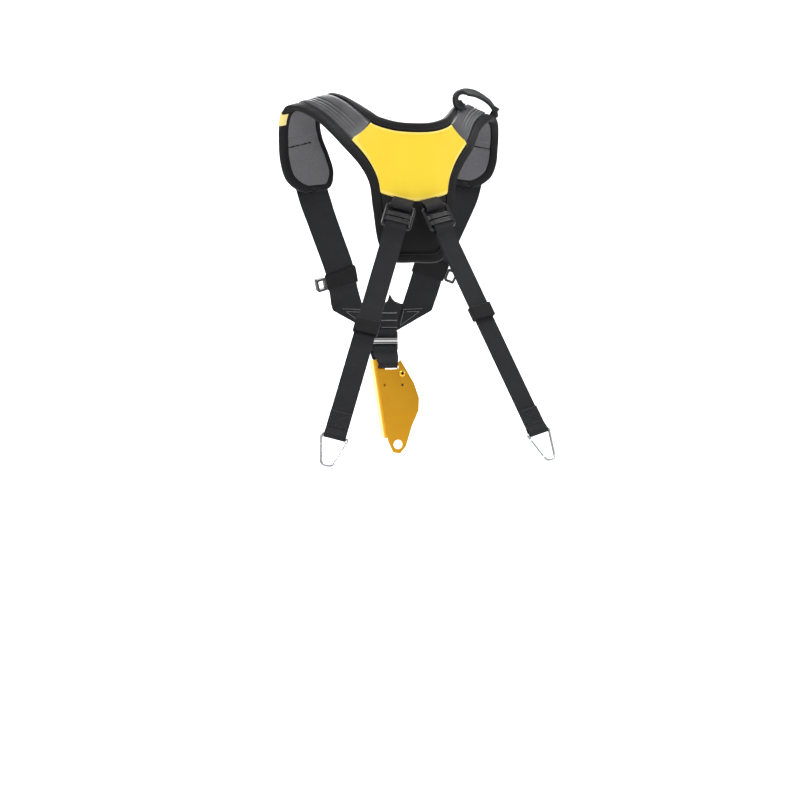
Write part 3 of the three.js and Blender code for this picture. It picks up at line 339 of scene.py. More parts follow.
def node(tree, kind, **inputs):
    """A shader node with its inputs set to values or linked from outputs"""
    made = tree.nodes.new(kind)
    for socket, value in inputs.items():
        socket = made.inputs[int(socket[1:])] if socket[0] == "i" else made.inputs[socket.replace("_", " ")]
        if isinstance(value, bpy.types.NodeSocket):
            tree.links.new(value, socket)
        else:
            socket.default_value = value
    return made


def maths(tree, operation, a, b=0.0):
    made = node(tree, "ShaderNodeMath", i0=a, i1=b)
    made.operation = operation
    return made.outputs["Value"]


def place_on(tree, source="UV"):
    return tree.nodes.new("ShaderNodeTexCoord").outputs[source]


def noise(tree, vector, scale, detail=3.0, roughness=0.5):
    return node(tree, "ShaderNodeTexNoise", Vector=vector, Scale=scale, Detail=detail,
                Roughness=roughness).outputs["Fac"]


def ramp(tree, factor, stops):
    made = node(tree, "ShaderNodeValToRGB", Fac=factor)
    elements = made.color_ramp.elements
    for i, (place, colour) in enumerate(stops):
        element = elements[i] if i < 2 else elements.new(place)
        element.position = place
        element.color = (*(colour if isinstance(colour, tuple) else (colour,) * 3), 1.0)
    return made.outputs["Color"]


def dress(material, colour=None, roughness=None, height=None, strength=0.3, depth=0.0004):
    """Links a surface's colour, roughness and relief"""
    tree = material.node_tree
    surface = tree.nodes["Principled BSDF"]
    if colour is not None:
        tree.links.new(colour, surface.inputs["Base Color"])
    if roughness is not None:
        tree.links.new(roughness, surface.inputs["Roughness"])
    if height is not None:
        bump = node(tree, "ShaderNodeBump", Height=height, Strength=strength, Distance=depth)
        tree.links.new(bump.outputs["Normal"], surface.inputs["Normal"])


coated = shader("coated_fabric", (0.056, 0.056, 0.061), 0.4, Specular_IOR_Level=0.5, Coat_Weight=0.1,
                Coat_Roughness=0.35)
tree = coated.node_tree
cloud = noise(tree, place_on(tree, "Object"), 30.0, 4.0, 0.6)
dress(coated, ramp(tree, cloud, [(0.3, (0.042, 0.042, 0.046)), (0.7, (0.070, 0.070, 0.076))]),
      ramp(tree, cloud, [(0.35, 0.32), (0.7, 0.46)]),
      noise(tree, place_on(tree, "Object"), 1400.0, 3.0, 0.6), 0.25, 0.0003)

spacer = shader("spacer_knit", (0.015, 0.015, 0.017), 0.85, Specular_IOR_Level=0.2)
tree = spacer.node_tree
cells = node(tree, "ShaderNodeTexVoronoi", Vector=place_on(tree), Scale=450.0).outputs["Distance"]
dress(spacer, ramp(tree, cells, [(0.1, (0.006, 0.006, 0.007)), (0.6, (0.024, 0.024, 0.027))]),
      height=cells, strength=0.5, depth=0.0006)
black_face = shader("black_face_fabric", (0.008, 0.008, 0.009), 0.6, Specular_IOR_Level=0.2)
face_grain = noise(black_face.node_tree, place_on(black_face.node_tree, "Object"), 1500.0)
dress(black_face, height=face_grain, strength=0.3, depth=0.0003)

# Channels of the quilting: share of the field, depth and half width
CHANNELS = [(0.45, 1.0, 0.022), (0.60, 0.9, 0.020), (0.74, 0.5, 0.016), (0.87, 0.45, 0.016)]
FIELD_STOPS = sorted({0.0, 0.02, 0.05, 0.09, 0.15, 0.22, 0.30, 0.37, 0.52, 0.67, 0.80, 0.91, 0.95, 0.98, 1.0}
                     | {g + k * w for g, _, w in CHANNELS for k in (-1.6, -0.8, 0.0, 0.8, 1.6)})
UNDER_STOPS, BACK_ROWS = 8, 5.6


def pad_section(row):
    width = yoke_width(row)
    start = tape_cover(NECK_TAPE, row)
    field = width - tape_cover(EDGE_TAPE, row) - start
    half = PAD_EDGE / 2
    puff = PAD_PUFF * yoke_value(PUFF, row)
    quilted = yoke_value(GROOVE, row)
    section = [(0.0, -half * 0.4), (0.0, half * 0.4), (min(0.7, width * 0.1), half)]
    for share in FIELD_STOPS:
        shoulder = min(share, 1 - share) / 0.1
        rise = puff * (1.0 if shoulder >= 1 else 1 - (1 - shoulder) ** 2.2)
        sunk = sum(depth * math.exp(-((share - g) / w) ** 2) for g, depth, w in CHANNELS)
        crown = 0.35 * quilted * math.sin(math.pi * min(share / 0.45, 1.0))
        section.append((start + field * share, half + rise + crown - sunk * GROOVE_DEPTH * quilted))
    section += [(width - min(0.7, width * 0.1), half), (width, half * 0.4), (width, -half * 0.4)]
    section += [(lerp(width, 0.0, k / UNDER_STOPS), -half) for k in range(1, UNDER_STOPS)]
    return section


pad_rows = spread(-LAST_ROW + 0.5, LAST_ROW - 0.5, 0.125)
section_size = len(pad_section(0.0))
pad_skin = Skin()


def pad_cloth(i, j):
    """Spacer fabric below, black face fabric on the back piece and coated fabric on the shoulders"""
    if j >= section_size - UNDER_STOPS:
        return 1
    return 2 if abs(pad_rows[i]) < BACK_ROWS else 0


pad_skin.rings([[yoke_point(row, d, h) for d, h in pad_section(row)] for row in pad_rows], paint=pad_cloth)
pad = pad_skin.piece("pad", [coated, spacer, black_face], "harness", "padding", "yoke_pad")

# The tapes: folded grosgrain sewn over both edges of the pad, one round the neck and one round the
# outside. Each grips the edge from both sides and carries one line of stitches near its edge.
tape = shader("grosgrain_tape", (0.004, 0.004, 0.005), 0.55, Specular_IOR_Level=0.22)
tree = tape.node_tree
ribs = node(tree, "ShaderNodeTexWave", Vector=place_on(tree), Scale=300.0, Distortion=0.3)
ribs.bands_direction = "Y"
dress(tape, height=ribs.outputs["Fac"], strength=0.35, depth=0.0003)
black_thread = shader("black_thread", (0.012, 0.012, 0.014), 0.45)
dress(black_thread, height=noise(black_thread.node_tree, place_on(black_thread.node_tree, "Object"), 2500.0),
      strength=0.3, depth=0.0002)
TAPE_SEAM = 2.2


def tape_profile(leg, inside, thickness, fold, crown=0.4, seam=TAPE_SEAM):
    """Distances from the pad's edge and heights round a folded tape"""
    outside = inside + thickness
    upper = [(leg, inside + thickness * 0.5), (leg - 0.25, outside - 0.15)]
    for share in (0.92, 0.78, 0.62, 0.45, 0.3, 0.15):
        distance = leg * share
        sunk = 0.35 * math.exp(-((leg - distance - seam) / 0.9) ** 2)
        upper.append((distance, outside + crown * math.sin(math.pi * share) - sunk))
    arc = [(-(fold + thickness) * math.cos(t), outside * math.sin(t))
           for t in (math.radians(a) for a in (90, 68, 46, 23, 0, -23, -46, -68, -90))]
    lower = [(d, -h) for d, h in reversed(upper)]
    back = [(leg, -inside), (leg * 0.5, -inside), (0.0, -inside), (-fold * 0.8, -inside * 0.6), (-fold, 0.0),
            (-fold * 0.8, inside * 0.6), (0.0, inside), (leg * 0.5, inside), (leg, inside)]
    return upper + arc + lower + back


for name, column in (("neck_tape", NECK_TAPE), ("outer_tape", EDGE_TAPE)):
    tape_skin = Skin()
    rings, seam, normals = [], [], []
    for row in spread(-LAST_ROW, LAST_ROW, 0.1):
        width = yoke_width(row)
        leg = tape_cover(column, row) - 2 * WIDE_GAP
        profile = tape_profile(leg, PAD_EDGE / 2 + TAPE_GAP, TAPE_THICKNESS, 2 * TAPE_GAP,
                               min(0.4, leg * 0.06))
        seam_at = max(leg - TAPE_SEAM, leg * 0.5)
        seam_height = PAD_EDGE / 2 + TAPE_GAP + TAPE_THICKNESS
        if column == EDGE_TAPE:
            profile = [(width - d, h) for d, h in profile]
            seam_at = width - seam_at
        rings.append([yoke_point(row, d, h) for d, h in profile])
        if abs(row) < LAST_ROW - 0.5:
            seam.append(yoke_point(row, seam_at, seam_height))
            normals.append(yoke_normal(row, seam_at / width))
    tape_skin.rings(rings)
    tape_skin.seam(seam, normals, radius=0.25)
    tape_skin.piece(name, [tape, black_thread], "harness", "edge_tape",
                    "neck_binding" if column == NECK_TAPE else "outer_binding")

# The linings: grey three-layer mesh on the inside of each front pad, pressed in along one crease
# across the pad where it bends. The tapes hold its edges.
LINING_THICKNESS, LINING_START, LINING_END, CREASE_ROW = 1.2, 8, 14.7, 12.15
mesh_lining = shader("mesh_lining", (0.13, 0.13, 0.14), 0.8, Specular_IOR_Level=0.25)
tree = mesh_lining.node_tree
holes = node(tree, "ShaderNodeTexVoronoi", Vector=place_on(tree), Scale=620.0).outputs["Distance"]
shade = noise(tree, place_on(tree, "Object"), 22.0, 2.0)
mix = node(tree, "ShaderNodeMix", Factor=maths(tree, "MULTIPLY", shade, 0.5))
mix.data_type = "RGBA"
knit = ramp(tree, holes, [(0.12, (0.080, 0.080, 0.088)), (0.45, (0.120, 0.120, 0.130))])
tree.links.new(knit, mix.inputs[6])
mix.inputs[7].default_value = (0.095, 0.095, 0.102, 1)
dress(mesh_lining, mix.outputs[2], height=holes, strength=0.5, depth=0.0005)

# Points across each lining's pad side, then the shares of its width on the body side
LINING_BACK = 7
LINING_STOPS = (0, 0.02, 0.05, 0.1, 0.18, 0.26, 0.34, 0.42, 0.5, 0.58, 0.66, 0.74, 0.82, 0.9, 0.95, 0.98, 1)

for name, hand, tilt in (("left", -1, 0.15), ("right", 1, -0.05)):
    lining_rows = sorted(set(spread(LINING_START, LINING_END, 0.1)) | set(spread(11.8, 12.6, 0.03)))
    lining_skin = Skin()
    rings = []
    for row in lining_rows if hand > 0 else [-r for r in reversed(lining_rows)]:
        start = tape_cover(NECK_TAPE, row) + WIDE_GAP
        end = yoke_width(row) - tape_cover(EDGE_TAPE, row) - WIDE_GAP
        upper = -PAD_EDGE / 2 - TAPE_GAP
        section = [(lerp(end, start, k / (LINING_BACK - 1)), upper) for k in range(LINING_BACK)]
        for share in LINING_STOPS:
            edge = min(share, 1 - share)
            puff = 0.55 * (1 - math.exp(-edge / 0.07)) - 0.3 * math.exp(-((share - 0.05) / 0.02) ** 2)
            reach = min(max((share - 0.18) / 0.08, 0.0), 1.0)
            offset = abs(row) - CREASE_ROW - tilt * share
            fold = 0.95 * math.exp(-(offset / 0.06) ** 2)
            swell = 0.3 * math.exp(-((offset - 0.22) / 0.12) ** 2)
            crease = reach * (fold - swell)
            section.append((lerp(start, end, share), upper - LINING_THICKNESS * 0.7 - puff + crease))
        rings.append([yoke_point(row, d, h) for d, h in section])
    ordered = lining_rows if hand > 0 else lining_rows[::-1]

    def crease_shade_paint(i, j):
        """The bottom of the crease, painted dark as shade"""
        share = LINING_STOPS[min(max(j - LINING_BACK, 0), len(LINING_STOPS) - 1)]
        return int(abs(ordered[i] - CREASE_ROW - tilt * share) < 0.035 and j >= LINING_BACK and share > 0.2)

    # Painted shade: faces along the bottom of the crease take the black face fabric.
    lining_skin.rings(rings, paint=crease_shade_paint)
    lining_skin.piece("lining_" + name, [mesh_lining, black_face], "harness", "mesh_lining", "lining_" + name)

# The back panel: yellow moulded fabric between the shoulder blades, welded down with a narrow pale
# rim round a slightly crowned field.
PANEL_THICKNESS = 2.0
PANEL_END, PANEL_CORNER, PANEL_TIP, PANEL_RISE, PANEL_HALF = 5.8, 5.3, -119.4, 9.5, 38.5
yellow = shader("yellow_fabric", (0.80, 0.56, 0.035), 0.6, Specular_IOR_Level=0.3)
tree = yellow.node_tree
weave = noise(tree, place_on(tree, "Object"), 1500.0, 2.0, 0.4)
tone = noise(tree, place_on(tree, "Object"), 14.0, 2.0)
dress(yellow, ramp(tree, tone, [(0.25, (0.76, 0.54, 0.026)), (0.75, (0.83, 0.605, 0.036))]), height=weave,
      strength=0.3, depth=0.0003)
rim = shader("yellow_rim", (0.84, 0.64, 0.12), 0.5, Specular_IOR_Level=0.35)
tree = rim.node_tree
dress(rim, height=noise(tree, place_on(tree, "Object"), 1500.0, 2.0), strength=0.15, depth=0.0002)
PANEL_STOPS = [0, 0.004, 0.012, 0.022, 0.034, 0.05, 0.07, 0.1, 0.16, 0.25, 0.36, 0.5]
PANEL_STOPS += [1 - s for s in reversed(PANEL_STOPS[:-1])]


def panel_foot(row, end):
    """The distance at which a row meets the panel's lower edge, a shallow point at the spine"""
    neck, edge, _, _, width = yoke_frame(row)
    distances = np.linspace(40, end, 400)
    for distance in distances:
        x, _, z = lerp(neck, edge, distance / width)
        if z < PANEL_TIP + PANEL_RISE * (abs(x) / PANEL_HALF) ** 1.6:
            return float(distance)
    return end


panel_ends = {side * (PANEL_END - inset) for side in (-1, 1) for inset in (0.02, 0.05)}
panel_rows = sorted(set(spread(-PANEL_END, PANEL_END, 0.1)) | panel_ends)
rings, faded = [], []
for row in panel_rows:
    start = tape_cover(NECK_TAPE, row) + GAP
    end = yoke_width(row) - tape_cover(EDGE_TAPE, row) - GAP
    top = lerp(start, end, 0.86 * max(abs(row) - PANEL_CORNER, 0) / (PANEL_END - PANEL_CORNER))
    foot = panel_foot(row, end) if abs(row) < 4 else end
    base = PAD_EDGE / 2 + PAD_PUFF * yoke_value(PUFF, row) + WIDE_GAP
    section, edges = [], []
    for share in PANEL_STOPS:
        distance = lerp(foot, top, share)
        inset = min(distance - top, foot - distance, (PANEL_END - abs(row)) * 22)
        height = PANEL_THICKNESS * 0.62 * (1 - math.exp(-max(inset, 0) / 0.35))
        height += 0.35 * math.exp(-((inset - 1.7) / 0.9) ** 2) - 0.25 * math.exp(-((inset - 3.4) / 0.6) ** 2)
        height += 0.75 * (1 - math.exp(-max(inset - 3.4, 0) / 9))
        section.append((distance, base + max(height, 0.25)))
        edges.append(inset)
    section += [(lerp(top, foot, k / 5), base) for k in range(6)]
    rings.append([yoke_point(row, d, h) for d, h in section])
    faded.append(edges + [0] * 6)
panel_skin = Skin()
panel_skin.rings(rings, paint=lambda i, j: 1 if faded[i][j] < 3.0 else 0)
panel_skin.piece("panel", [yellow, rim], "harness", "yellow_fabric", "back_panel")

# The tab: a small pale yellow fabric label, folded over the outer tape of the left shoulder and held
# by the tape's seam.
TAB_FROM, TAB_TO, TAB_LEG, TAB_THICKNESS = 10.25, 11, 6, 1
pale = shader("pale_fabric", (0.80, 0.64, 0.24), 0.6, Specular_IOR_Level=0.3)
tree = pale.node_tree
dress(pale, height=noise(tree, place_on(tree, "Object"), 1800.0, 2.0), strength=0.3, depth=0.0002)
rings = []
for row in spread(-TAB_TO, -TAB_FROM, 0.05):
    width = yoke_width(row)
    profile = tape_profile(TAB_LEG, PAD_EDGE / 2 + TAPE_GAP + TAPE_THICKNESS + WIDE_GAP, TAB_THICKNESS,
                           2 * TAPE_GAP + TAPE_THICKNESS + WIDE_GAP, 0.2, 1.5)
    rings.append([yoke_point(row, width - d, h) for d, h in profile])
tab_skin = Skin()
tab_skin.rings(rings)
tab_skin.piece("tab", [pale], "harness", "pale_fabric", "edge_tab")

# The gear loop: two layers of narrow webbing, sewn flat on the pad at both feet and arched over the
# right shoulder.
LOOP_RISE, LOOP_BAND, LOOP_THICKNESS, LOOP_FROM, LOOP_TO = 18.0, 14.0, 3.6, 6.9, 9.9
LOOP_ROWS = [(0.15, 0.10), (0.03, 0.06), (-0.05, 0.32), (0.01, 0.68), (0.23, 1.0), (0.51, 1.01), (0.80, 0.64),
             (1.01, 0.28), (0.89, 0.17)]
webbing = shader("webbing", (0.012, 0.013, 0.016), 0.65, Specular_IOR_Level=0.18)
tree = webbing.node_tree
split = node(tree, "ShaderNodeSeparateXYZ", Vector=place_on(tree))
column = maths(tree, "MULTIPLY", split.outputs["X"], 620.0)
lane = maths(tree, "MULTIPLY", maths(tree, "FLOOR", column), math.pi)
rib = maths(tree, "SINE", maths(tree, "ADD", maths(tree, "MULTIPLY", split.outputs["Y"], 5200.0), lane))
ridge = maths(tree, "SINE", maths(tree, "MULTIPLY", maths(tree, "FRACT", column), math.pi))
weave = maths(tree, "MULTIPLY", maths(tree, "ADD", maths(tree, "MULTIPLY", rib, 0.35), 0.65), ridge)
tone = noise(tree, place_on(tree, "Object"), 40.0, 3.0)
dress(webbing, ramp(tree, maths(tree, "MULTIPLY", weave, maths(tree, "ADD", tone, 0.5)),
                    [(0.1, (0.007, 0.0072, 0.008)), (0.9, (0.022, 0.0225, 0.0255))]),
      height=weave, strength=0.55, depth=0.0005)
grey_thread = shader("grey_thread", (0.17, 0.175, 0.185), 0.5)
dress(grey_thread, height=noise(grey_thread.node_tree, place_on(grey_thread.node_tree, "Object"), 2500.0),
      strength=0.3, depth=0.0002)
# The section of a band: places across it and its rise, both as shares of half its size
BAND_FLAT = 0.84
BAND_ACROSS = [-1, -0.985, -0.95, -0.88, -0.6, -0.2, 0.2, 0.6, 0.88, 0.95, 0.985, 1]
BAND_RISE = [0.35, 0.75, 1.0, 0.86, *[BAND_FLAT] * 4, 0.86, 1.0, 0.75, 0.35]
BAND_SECTION = list(zip(BAND_ACROSS, BAND_RISE))
BAND_SECTION += [(x, -y) for x, y in reversed(BAND_SECTION)]


def band_ring(point, across, normal, width, thickness):
    """One section of webbing with slightly thicker selvedges"""
    return [point + across * (x * width / 2) + normal * (y * thickness / 2) for x, y in BAND_SECTION]


def bar_tack(skin, start, end, normal, width, pitch, paint=1):
    """A bar of close threads laid over a line"""
    along = unit(end - start)
    count = int(math.dist(start, end) // pitch)
    side = unit(np.cross(normal, along)) * (width / 2)
    for n in range(count + 1):
        middle = start + along * (n * pitch)
        lean = along * (pitch * 0.35)
        skin.stitch(middle - side - lean, middle + side + lean, normal, paint)


loop_seat = PAD_EDGE / 2 + PAD_PUFF + GAP + LOOP_THICKNESS / 2
loop_points = []
for share, lift in LOOP_ROWS:
    row = lerp(LOOP_FROM, LOOP_TO, share)
    seat_point = yoke_point(row, share * yoke_width(row), loop_seat)
    loop_points.append(seat_point + np.array([0, 0, lift * LOOP_RISE]))
loop_curve = Spline(loop_points)
rings = []
for share in spread(0, 1, 1 / 90):
    row = lerp(LOOP_FROM, LOOP_TO, share)
    tangent = loop_curve.tangent(share)
    across = sum(yoke_frame(row + 0.5)[:2]) - sum(yoke_frame(row - 0.5)[:2])
    across = unit(across - tangent * np.dot(across, tangent))
    outward = unit(np.cross(across, tangent))
    rings.append(band_ring(loop_curve.at(share), across, outward, LOOP_BAND, LOOP_THICKNESS))
loop_skin = Skin()
loop_skin.rings(rings)
loop_skin.piece("gear_loop_webbing", [webbing], "harness", "webbing", "gear_loop")

# The front straps: 40 mm webbing sewn into the front pads, hanging in and forward to the breastbone,
# where each is folded to a mitre. An elastic keeper and a plastic loop sit on each.
FRONT_TOP, FRONT_FOOT, FRONT_TURN, FRONT_MITRE, FRONT_WIDTH, WEBBING = -30.0, -256.0, 18.0, 46.0, 40.0, 1.8
# Each row: down as a share of the drop, side and fore as shares of the yoke's half width and reach,
# and the share of the turn
FRONT_ROWS = [(0.000, 0.800, 0.455, 0.0), (0.136, 0.760, 0.459, 0.0), (0.281, 0.705, 0.476, 0.3),
              (0.407, 0.625, 0.570, 0.8), (0.533, 0.540, 0.660, 0.8), (0.698, 0.430, 0.775, 0.8),
              (0.824, 0.376, 0.875, 0.8), (0.911, 0.334, 0.924, 0.2), (1.000, 0.282, 0.930, 0.0)]
# The seams at each strap's foot: side and up of both their ends
STRAP_SEAMS = [(26.6, -239.8, 54.8, -238.6), (31.5, -243.0, 49.5, -242.4), (28.0, -241.5, 22.8, -261.3),
               (49.5, -242.4, 22.8, -261.3)]
inward = np.array([0.0, -1.0, 0.0])
ELASTIC, KEEPER_REACH = 1.4, 0.042
elastic = shader("ribbed_elastic", (0.006, 0.006, 0.007), 0.7, Specular_IOR_Level=0.2)
tree = elastic.node_tree
ribs = node(tree, "ShaderNodeTexWave", Vector=place_on(tree), Scale=260.0)
ribs.bands_direction = "X"
dress(elastic, height=ribs.outputs["Fac"], strength=0.5, depth=0.0004)


def sleeve_rings(stations, wall, clear):
    """A closed band round a strap: rings of its wall, from the strap's own places"""
    rings = []
    shares = spread(0, 1, 1 / (len(stations) - 1))
    for x, y in BAND_SECTION:
        rise = math.copysign(1, y) * min(abs(y) / BAND_FLAT, 1)
        outer, inner = [], []
        for share, (point, across, normal, width, thickness) in zip(shares, stations):
            lip = 0.09 * (math.exp(-(share / 0.06) ** 2) + math.exp(-((1 - share) / 0.06) ** 2))
            rim = clear + wall * (1 if 0 < share < 1 else 0.5)
            outer.append(point + across * (x * (width / 2 + rim))
                         + normal * (rise * (thickness / 2 + rim + lip)))
            inner.append(point + across * (x * (width / 2 + clear))
                         + normal * (rise * (thickness / 2 + clear)))
        rings.append(outer + inner[::-1])
    return rings + rings[:1]


for name, hand, keeper_share in (("left", -1, 0.675), ("right", 1, 0.62)):
    curve = Spline([(hand * side * SHOULDER_HALF, fore * YOKE_REACH, lerp(FRONT_TOP, FRONT_FOOT, down))
                    for down, side, fore, _ in FRONT_ROWS])

    def front_place(share):
        along = curve.tangent(share)
        twists = [row[3] for row in FRONT_ROWS]
        twist = np.interp(share * (len(twists) - 1), range(len(twists)), twists)
        turn = math.radians(hand * FRONT_TURN * twist)
        across = np.array([math.cos(turn), -math.sin(turn), 0.0])
        across = unit(across - along * np.dot(across, along))
        return curve.at(share), across, unit(np.cross(across, along)), along

    rings = []
    for share in spread(0, 1, 1 / 70):
        point, across, normal, along = front_place(share)
        ring = band_ring(point, across, normal, FRONT_WIDTH, WEBBING)
        late = max(share - 0.72, 0) / 0.28
        mitre = [-hand * float(np.dot(p - point, across)) / FRONT_WIDTH * FRONT_MITRE * late for p in ring]
        rings.append([p + along * shift for p, shift in zip(ring, mitre)])
    strap_skin = Skin()
    strap_skin.rings(rings)
    foot_point, _, foot_normal, _ = front_place(0.95)

    def on_strap(x, z):
        """The point over a place of the breastbone's plane on the strap's body side"""
        lift = foot_normal * (WEBBING / 2 * math.copysign(1, -foot_normal[1]))
        base = foot_point + lift
        slope = foot_normal[0] * (hand * x - base[0]) + foot_normal[2] * (z - base[2])
        return np.array([hand * x, base[1] - slope / foot_normal[1], z])

    for x0, z0, x1, z1 in STRAP_SEAMS:
        line = [on_strap(lerp(x0, x1, s), lerp(z0, z1, s)) for s in spread(0, 1, 0.04)]
        strap_skin.seam(line, [inward] * len(line), radius=0.32, pitch=2.4, length=2.0)
    strap_skin.piece("front_webbing_" + name, [webbing, grey_thread], "harness", "webbing",
                     "front_strap_" + name)

    stations = []
    for shift in spread(-KEEPER_REACH, KEEPER_REACH, KEEPER_REACH / 8):
        point, across, normal, _ = front_place(keeper_share + shift)
        stations.append((point, across, normal, FRONT_WIDTH, WEBBING))
    keeper_skin = Skin()
    keeper_skin.rings(sleeve_rings(stations, ELASTIC, WIDE_GAP), caps=False)
    keeper_skin.piece("front_keeper_" + name, [elastic], "harness", "elastic", "strap_keeper_" + name)

# The two plastic loops on the front keepers: moulded frames, kept from the CAD part with their edges
# rounded. Each is there to park a lanyard's hook.
plastic = shader("moulded_plastic", (0.012, 0.0125, 0.014), 0.45)
dress(plastic, height=noise(plastic.node_tree, place_on(plastic.node_tree, "Object"), 1200.0), strength=0.15,
      depth=0.0002)


def finish_cad(node_name, material, bevel, segments=3, angle=30.0):
    """A CAD piece in its own shape, with rounded edges and a finish"""
    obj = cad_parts[node_name]
    obj.data.materials.clear()
    obj.data.materials.append(material)
    weld = obj.modifiers.new("weld", "WELD")
    weld.merge_threshold = 0.00001
    rounding = obj.modifiers.new("rounding", "BEVEL")
    rounding.width = bevel * MM
    rounding.segments = segments
    rounding.limit_method = "ANGLE"
    rounding.angle_limit = math.radians(angle)
    rounding.harden_normals = False
    normals = obj.modifiers.new("normals", "WEIGHTED_NORMAL")
    normals.keep_sharp = True
    return obj


finish_cad("clip_holder_left", plastic, 0.8)
finish_cad("clip_holder_right", plastic, 0.8)

# The junction: a patch of webbing on the body side of the strap ends, folded to a point at its top,
# and bar tacked through all the layers in pale grey thread.
CHEST_WIDTH, CHEST_Y, PATCH_TOP, PATCH_FOOT, PATCH_FLARE = 38.0, 93.0, -232.0, -265.0, 9.0
patch_inner = CHEST_Y - WEBBING / 2 - WIDE_GAP - WEBBING
half = CHEST_WIDTH / 2
# Columns across the patch: place as a share of the width, and rise over its top edge
PATCH_COLUMNS = [(-0.5, 0), (-0.49, 0), (-0.46, 0), (-0.3, 0), (-0.15, 0), (0.02, 0), (0.12, 0), (0.15, 3.3),
                 (0.18, 6.6), (0.21, 9.8), (0.24, 13), (0.28, 9.9), (0.32, 6.8), (0.36, 3.8), (0.41, 0),
                 (0.46, 0), (0.49, 0), (0.5, 0)]
PATCH_TACKS, TACK_FROM, TACK_TO = (-244.4, -254.2, -263.4), -2.5, 18.0
rows = []
for t in [0, 0.01, 0.03, 0.1, 0.2, 0.3, 0.4, 0.5, 0.6, 0.7, 0.8, 0.9, 0.97, 0.99, 1]:
    ring = []
    for face in (1, -1):
        for x, peak in PATCH_COLUMNS if face > 0 else reversed(PATCH_COLUMNS):
            edge = min(t, 1 - t) * (PATCH_TOP - PATCH_FOOT)
            side = (0.5 - abs(x)) * CHEST_WIDTH
            thick = WEBBING / 2 * (0.35 + 0.65 * min(1, min(edge, side) / 0.35))
            flare = PATCH_FLARE * t * t * max(x - 0.36, 0) / 0.14
            ring.append((x * CHEST_WIDTH + flare, patch_inner + WEBBING / 2 + face * thick,
                         lerp(PATCH_FOOT, PATCH_TOP + peak, t)))
    rows.append(ring)
patch_skin = Skin()
patch_skin.rings(rows)
for height in PATCH_TACKS:
    start, end = (np.array([x, patch_inner, height]) for x in (TACK_FROM, TACK_TO))
    bar_tack(patch_skin, start, end, inward, width=1.2, pitch=0.75)
for side in (-1, 1):
    seam_x = side * (half - 2.0)
    edge = [np.array([seam_x, patch_inner, z]) for z in spread(PATCH_FOOT + 2, PATCH_TOP - 2, 1.5)]
    patch_skin.seam(edge, [inward] * len(edge), radius=0.22, paint=2)
patch_skin.piece("junction_patch", [webbing, grey_thread, black_thread], "harness", "webbing", "chest_yoke")

# The chest strap: webbing from the junction down the front, through the clamp's slot and back up the
# body side, where it weaves through the slider.
SLIDER_WIDTH, SLIDER_HEIGHT, SLIDER_THICKNESS, SLIDER_BAR, SLIDER_UP = 37.0, 26.0, 2.0, 3.0, -281.0
SLIDER_MIDDLE, SLOT_RUN, SLOT_EASE = 8.0, 4.0, 2.2
CLAMP_TOP, CLAMP_Y, CLAMP_PLATE, SLOT_DROP, SLOT_HEIGHT, SLOT_WIDTH = -306.0, 67.0, 3.0, 9.5, 5.0, 27.4
RIVET_SIDE, RIVET_UP = 18.8, CLAMP_TOP - 17.6
bar_foot = CLAMP_TOP - SLOT_DROP + SLOT_HEIGHT / 2
strap_front, strap_back = CLAMP_Y + CLAMP_PLATE / 2, CLAMP_Y - CLAMP_PLATE / 2
slider_y = CHEST_Y - 5
weave_reach = SLIDER_THICKNESS / 2 + 2 * GAP + WEBBING / 2 + 0.2
bar_rise = (SLIDER_HEIGHT - SLIDER_BAR) / 2
slot_rise = (SLIDER_MIDDLE + (SLIDER_HEIGHT - 2 * SLIDER_BAR - SLIDER_MIDDLE) / 2) / 2
run_width = SLIDER_WIDTH - 2 * SLIDER_BAR - 2 * WIDE_GAP
strap_seat = CHEST_Y + WEBBING + WIDE_GAP
CHEST_ROWS = [
    (strap_seat, PATCH_TOP - SLOT_RUN, CHEST_WIDTH),
    (strap_seat, PATCH_FOOT - 9, CHEST_WIDTH),
    (strap_seat - WIDE_GAP - 1, SLIDER_UP - SLIDER_MIDDLE, CHEST_WIDTH),
    (CLAMP_Y + 15, CLAMP_TOP + 3, CHEST_WIDTH * 0.94),
    (strap_front + 3.6, bar_foot + 2, SLOT_WIDTH - SLOT_EASE),
    (strap_front + 1, bar_foot - 2.4, SLOT_WIDTH - SLOT_EASE),
    (strap_back - 1, bar_foot - 2.4, SLOT_WIDTH - SLOT_EASE),
    (strap_back - 2.6, bar_foot + 2, SLOT_WIDTH - SLOT_EASE),
    (CLAMP_Y + 6, CLAMP_TOP + SLOT_RUN, CHEST_WIDTH * 0.82),
    (slider_y - weave_reach - 2, SLIDER_UP - bar_rise - SLOT_RUN, run_width),
    (slider_y - weave_reach, SLIDER_UP - bar_rise + 1.2, run_width),
    (slider_y, SLIDER_UP - slot_rise, run_width),
    (slider_y + weave_reach, SLIDER_UP - SLIDER_MIDDLE / 2, run_width),
    (slider_y + weave_reach, SLIDER_UP + SLIDER_MIDDLE / 2, run_width),
    (slider_y, SLIDER_UP + slot_rise, run_width),
    (slider_y - weave_reach, SLIDER_UP + bar_rise, run_width),
    (slider_y - weave_reach + 0.6, SLIDER_UP + bar_rise + SLOT_RUN, run_width),
]
chest_curve = Spline([(0.0, y, z) for y, z, _ in CHEST_ROWS])
sideways = np.array([1.0, 0.0, 0.0])
rings = []
last_row = len(CHEST_ROWS) - 1
for share in spread(0, 1, 1 / (10 * last_row)):
    width = np.interp(share * last_row, range(last_row + 1), [row[2] for row in CHEST_ROWS])
    outward = unit(np.cross(sideways, chest_curve.tangent(share)))
    rings.append(band_ring(chest_curve.at(share), sideways, outward, width, WEBBING))
chest_skin = Skin()
chest_skin.rings(rings)
chest_skin.piece("chest_webbing", [webbing], "harness", "webbing", "chest_strap")
